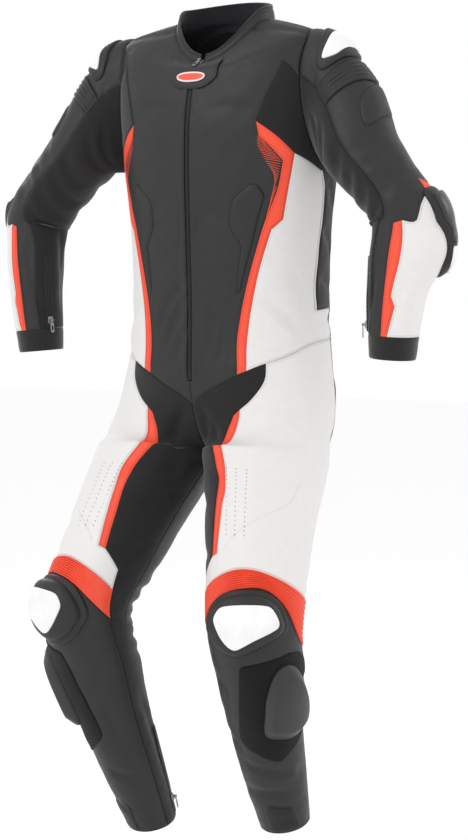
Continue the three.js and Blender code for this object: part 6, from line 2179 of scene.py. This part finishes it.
    def slider(self, name: str, chart: Chart, spot: tuple[float, float, float, float], ending: str) -> None:
        """A zip's slider and its hinged pull tab."""
        axes, origin = frame_on(chart, *spot)
        self.dresser.add(f"{name}_slider{ending}", placed(slider_mesh(), axes, origin), Finish.METAL,
                         "zip_metal",
                         sharp=50)
        pull = f"{name}_pull{ending}"
        self.dresser.add(pull, placed(tab_mesh(), axes, origin), Finish.METAL, "zip_metal", [pull], sharp=50,
                         body=f"{pull}_tab")

    def zip(self, zipper: Zip, side: Side) -> None:
        """A zip on a sleeve or a leg."""
        chart = (ARM if zipper.arm else BODY)[side]
        along = np.linspace(zipper.start, zipper.end, 48)
        line = np.stack([np.full(48, zipper.across), along], axis=-1)
        lift = reliefs(chart, line, np.full(48, FAR_FROM_EDGE), creases(chart))
        name = f"{zipper.name}_zip_{side.label}"
        tape = swept(chart, line, flat_section(zipper.half, 1.3), lift + 0.1)
        self.dresser.add(name, tape, Finish.NEOPRENE, "zip_metal", [name])
        self.teeth(name, chart, line, 1.5)
        lower = zipper.slider + (zipper.end - zipper.start) * 0.1
        self.slider(zipper.name, chart, (zipper.across, zipper.slider, lower, ZIP_THICK - 0.5),
                    f"_{side.label}")

    def knee(self, side: Side) -> None:
        """The knee's ribs, cup, loop panel and slider puck."""
        chart, end = BODY[side], side.label
        ribs = ribbed(chart, evenly(S["knee_top"], 110), evenly(S["knee_low"], 110), 9, 3.2, STRETCH,
                      plain=0.34)
        name = f"knee_ribs_{end}"
        self.dresser.add(name, ribs, Finish.RED, "red_leather", [name], Finish.LINING, 75)
        self.surround(f"knee_surround_{end}", chart, KNEE_RING, KNEE_CENTRE, KNEE_STEPS)
        plate = cup(chart, KNEE_PLATE, KNEE_CENTRE, dome_profile(3.0, 6.0, 17.6), 15.0)
        name = f"knee_cup_{end}"
        self.dresser.add(name, plate, Finish.WHITE_SHELL, "white_shell", [name])
        name = f"hook_panel_{end}"
        self.patch(name, chart, HOOK_PANEL, 1.2, Finish.HOOK, "hook_fabric", [name])
        self.patch(f"ankle_patch_{end}", chart, ANKLE_CLOTH, 0.7, Finish.STRETCH, "stretch_textile")
        puck = cup(chart, PUCK, PUCK_CENTRE, np.array(PUCK_STEPS), 1.5)
        name = f"knee_slider_{end}"
        self.dresser.add(name, puck, Finish.PUCK, "slider_puck", [name])

    def surround(self, name: str, chart: Chart, outline: Array, centre: tuple, steps: Points) -> None:
        """A padded frame of black leather round a plate."""
        piece = self.dresser.add(name, cup(chart, outline, centre, np.array(steps), -0.8), Finish.BLACK,
                                 "black_leather")

    def patch(self, name: str, chart: Chart, loop: Array, thickness: float, finish: Finish, slot: str,
              nodes: Sequence[str] = ()) -> None:
        """A piece of cloth or leather sewn on a panel.

        Args:
            name: The piece's name.
            chart: The surface.
            loop: Its outline.
            thickness: Its own thickness.
            finish, slot: What it is made of.
            nodes: The solids that it stands for.
        """
        flat_chart = (ARM if isinstance(chart, SleeveChart) else BODY)[Side.LEFT]
        pattern = cut(flat_chart, loop, (), 5.0)
        mesh = shell(chart, pattern, thickness, creases(chart), 0.3)
        piece = self.dresser.add(name, mesh, finish, slot, nodes)
        self.dresser.sheet(piece, chart, pattern, Held.STRETCHED)

    def trims(self, side: Side) -> None:
        """The printed hatch, the mesh with its piping, the punched holes and the elbow's red tip."""
        chart, end = BODY[side], side.label
        parts = creases(chart)
        front, rear = evenly(HATCH_FRONT, HATCH_LINES), evenly(HATCH_REAR, HATCH_LINES)
        lines = []
        for start, stop in zip(front[:-HATCH_SLANT], rear[HATCH_SLANT:]):
            line = start + (stop - start) * np.linspace(0, 1, 6)[:, None]
            lift = reliefs(chart, line, np.full(6, FAR_FROM_EDGE), parts) + 0.05
            lines.append(swept(chart, line, flat_section(HATCH_HALF, HATCH_RISE), lift))
        self.dresser.add(f"side_hatch_{end}", joined(lines), Finish.RED, "red_leather")
        self.patch(f"side_mesh_{end}", chart, SIDE_MESH, 0.8, Finish.MESH, "stretch_textile")
        line = S["mesh_front"]
        lift = reliefs(chart, line, np.full(len(line), FAR_FROM_EDGE), parts)
        self.dresser.add(f"side_piping_{end}", swept(chart, line, round_section(1.3, 1.3), lift),
                         Finish.WHITE,
                         "white_leather")
        # The holes are dark dots: partly the dark lining seen through them, partly painted shade inside them.
        columns, (top, low), count = PERFORATED
        p = np.stack(np.meshgrid(columns, np.linspace(top, low, count)), axis=-1).reshape(-1, 2)
        normals, across = chart.normal(p), unit(chart.slopes(p)[0])
        places = chart.place(p) + normals * (reliefs(chart, p, np.full(len(p), FAR_FROM_EDGE),
                                                     parts) + 0.02)[:, None]
        axes = np.stack([across, np.cross(normals, across), normals], axis=1)
        self.dresser.add(f"thigh_holes_{end}", scattered(dot_form(HOLE_RADIUS, HOLE_RISE), places, axes),
                         Finish.DARK,
                         "white_leather")
        self.patch(f"elbow_tip_{end}", ARM[side], ELBOW_TIP, 0.8, Finish.RED, "red_leather")

    def arm(self, side: Side) -> None:
        """The arm's ribs, and the cups with their frames."""
        chart, end = ARM[side], side.label
        ribs = ribbed(chart, evenly(T["rib_top"], 80, 330), evenly(T["rib_low"], 80, 330), 5, 2.8, STRETCH,
                      power=0.36)
        name = f"arm_ribs_{end}"
        self.dresser.add(name, ribs, Finish.BLACK, "black_leather", [name], Finish.LINING, 75)
        self.surround(f"shoulder_surround_{end}", chart, SHOULDER_FRAME, SHOULDER_CENTRE, FRAME_STEPS)
        name = f"shoulder_cup_{end}"
        plate = cup(chart, SHOULDER_PLATE, SHOULDER_CENTRE, dome_profile(2.0, 5.5, 5.0), 3.0)
        self.dresser.add(name, plate, Finish.WHITE_SHELL, "white_shell", [name])
        self.surround(f"elbow_surround_{end}", chart, ELBOW_FRAME, ELBOW_CENTRE, ELBOW_STEPS)
        name = f"elbow_cup_{end}"
        upper = cup(chart, ELBOW_SHELL, (-0.07, 265), dome_profile(2.5, 7.0, 9.0), 6.0)
        self.dresser.add(name, upper, Finish.BLACK_SHELL, "black_shell", [name])
        lower = cup(chart, ELBOW_PLATE, (-0.085, 309), dome_profile(2.5, 6.0, 9.0), 6.0)
        self.dresser.add(f"elbow_plate_{end}", lower, Finish.WHITE_SHELL, "white_shell")
        edge = swept(chart, ELBOW_EDGE, round_section(4.0, 1.6), 14.4)
        self.dresser.add(f"elbow_edge_{end}", edge, Finish.RED_RUBBER, "white_shell")

    def sewing(self) -> None:
        """All the stitches, as one piece for each thread."""
        for finish, rows in self.stitches.items():
            slot = finish.name.split("_")[0].lower() + "_leather"
            self.dresser.add(finish.value.name, joined(rows), finish, slot)


@dataclass(frozen=True)
class Lift(Relief):
    """A plain height."""

    rise: float

    def height(self, chart: Chart, p: Array, edge: Array) -> Array:
        """The same height everywhere."""
        return np.full(len(p), self.rise)


# The studio


def area_light(name: str, place: tuple, aim: tuple, size: float, power: float) -> None:
    """A large square light.

    Args:
        name: The light's name.
        place, aim: Where it stands and what it points at, in metres.
        size: Its side in metres.
        power: Its watts.
    """
    data = bpy.data.lights.new(name, "AREA")
    data.size, data.energy = size, power
    light = bpy.data.objects.new(name, data)
    light.location = place
    light.rotation_euler = (Vector(aim) - Vector(place)).to_track_quat("-Z", "Y").to_euler()
    bpy.context.scene.collection.objects.link(light)


def studio() -> None:
    """The pale floor, the soft lights, the world and the camera."""
    scene = bpy.context.scene
    scene.view_settings.view_transform = "Standard"
    made, nodes, shader = material("studio_floor")
    shader.inputs["Base Color"].default_value = (0.97, 0.97, 0.97, 1)
    shader.inputs["Roughness"].default_value = 0.9
    data = bpy.data.meshes.new("studio_floor")
    reach, height = 14.0, -1.43
    data.from_pydata([(-reach, -reach, height), (reach, -reach, height), (reach, reach, height),
                      (-reach, reach, height)], [], [(0, 1, 2, 3)])
    data.materials.append(made)
    floor = bpy.data.objects.new("studio_floor", data)
    scene.collection.objects.link(floor)
    world = bpy.data.worlds.new("studio")
    world.use_nodes = True
    world.node_tree.nodes["Background"].inputs[0].default_value = (1, 1, 1, 1)
    world.node_tree.nodes["Background"].inputs[1].default_value = 1.0
    scene.world = world
    middle = (0, 0, -0.6)
    area_light("key", (-1.2, -3.2, 1.7), middle, 1.8, 26)
    area_light("fill", (3.4, -2.0, 0.6), middle, 2.4, 8)
    area_light("rim_left", (-2.6, 1.8, 1.0), middle, 1.0, 10)
    area_light("rim_right", (2.4, 2.2, 1.0), middle, 1.0, 10)
    azimuth, elevation, away = math.radians(33), math.radians(3.4), 4.3
    target = Vector((0, -0.02, -0.64))
    back = Vector((math.sin(azimuth) * math.cos(elevation), -math.cos(azimuth) * math.cos(elevation),
                   math.sin(elevation)))
    lens = bpy.data.cameras.new("camera")
    lens.sensor_width, lens.sensor_fit = 36, "AUTO"
    lens.lens = 18 / (0.6846 / away)
    lens.shift_x = 9 / 840
    lens.clip_end = 100
    camera = bpy.data.objects.new("camera", lens)
    camera.location = target + back * away
    camera.rotation_euler = (-back).to_track_quat("-Z", "Y").to_euler()
    scene.collection.objects.link(camera)
    scene.camera = camera


def main() -> None:
    """Builds the suit and its studio."""
    logging.basicConfig(level=logging.INFO, format="%(name)s %(message)s")
    Suit(Dresser()).build()
    studio()


if __name__ == "__main__":
    main()
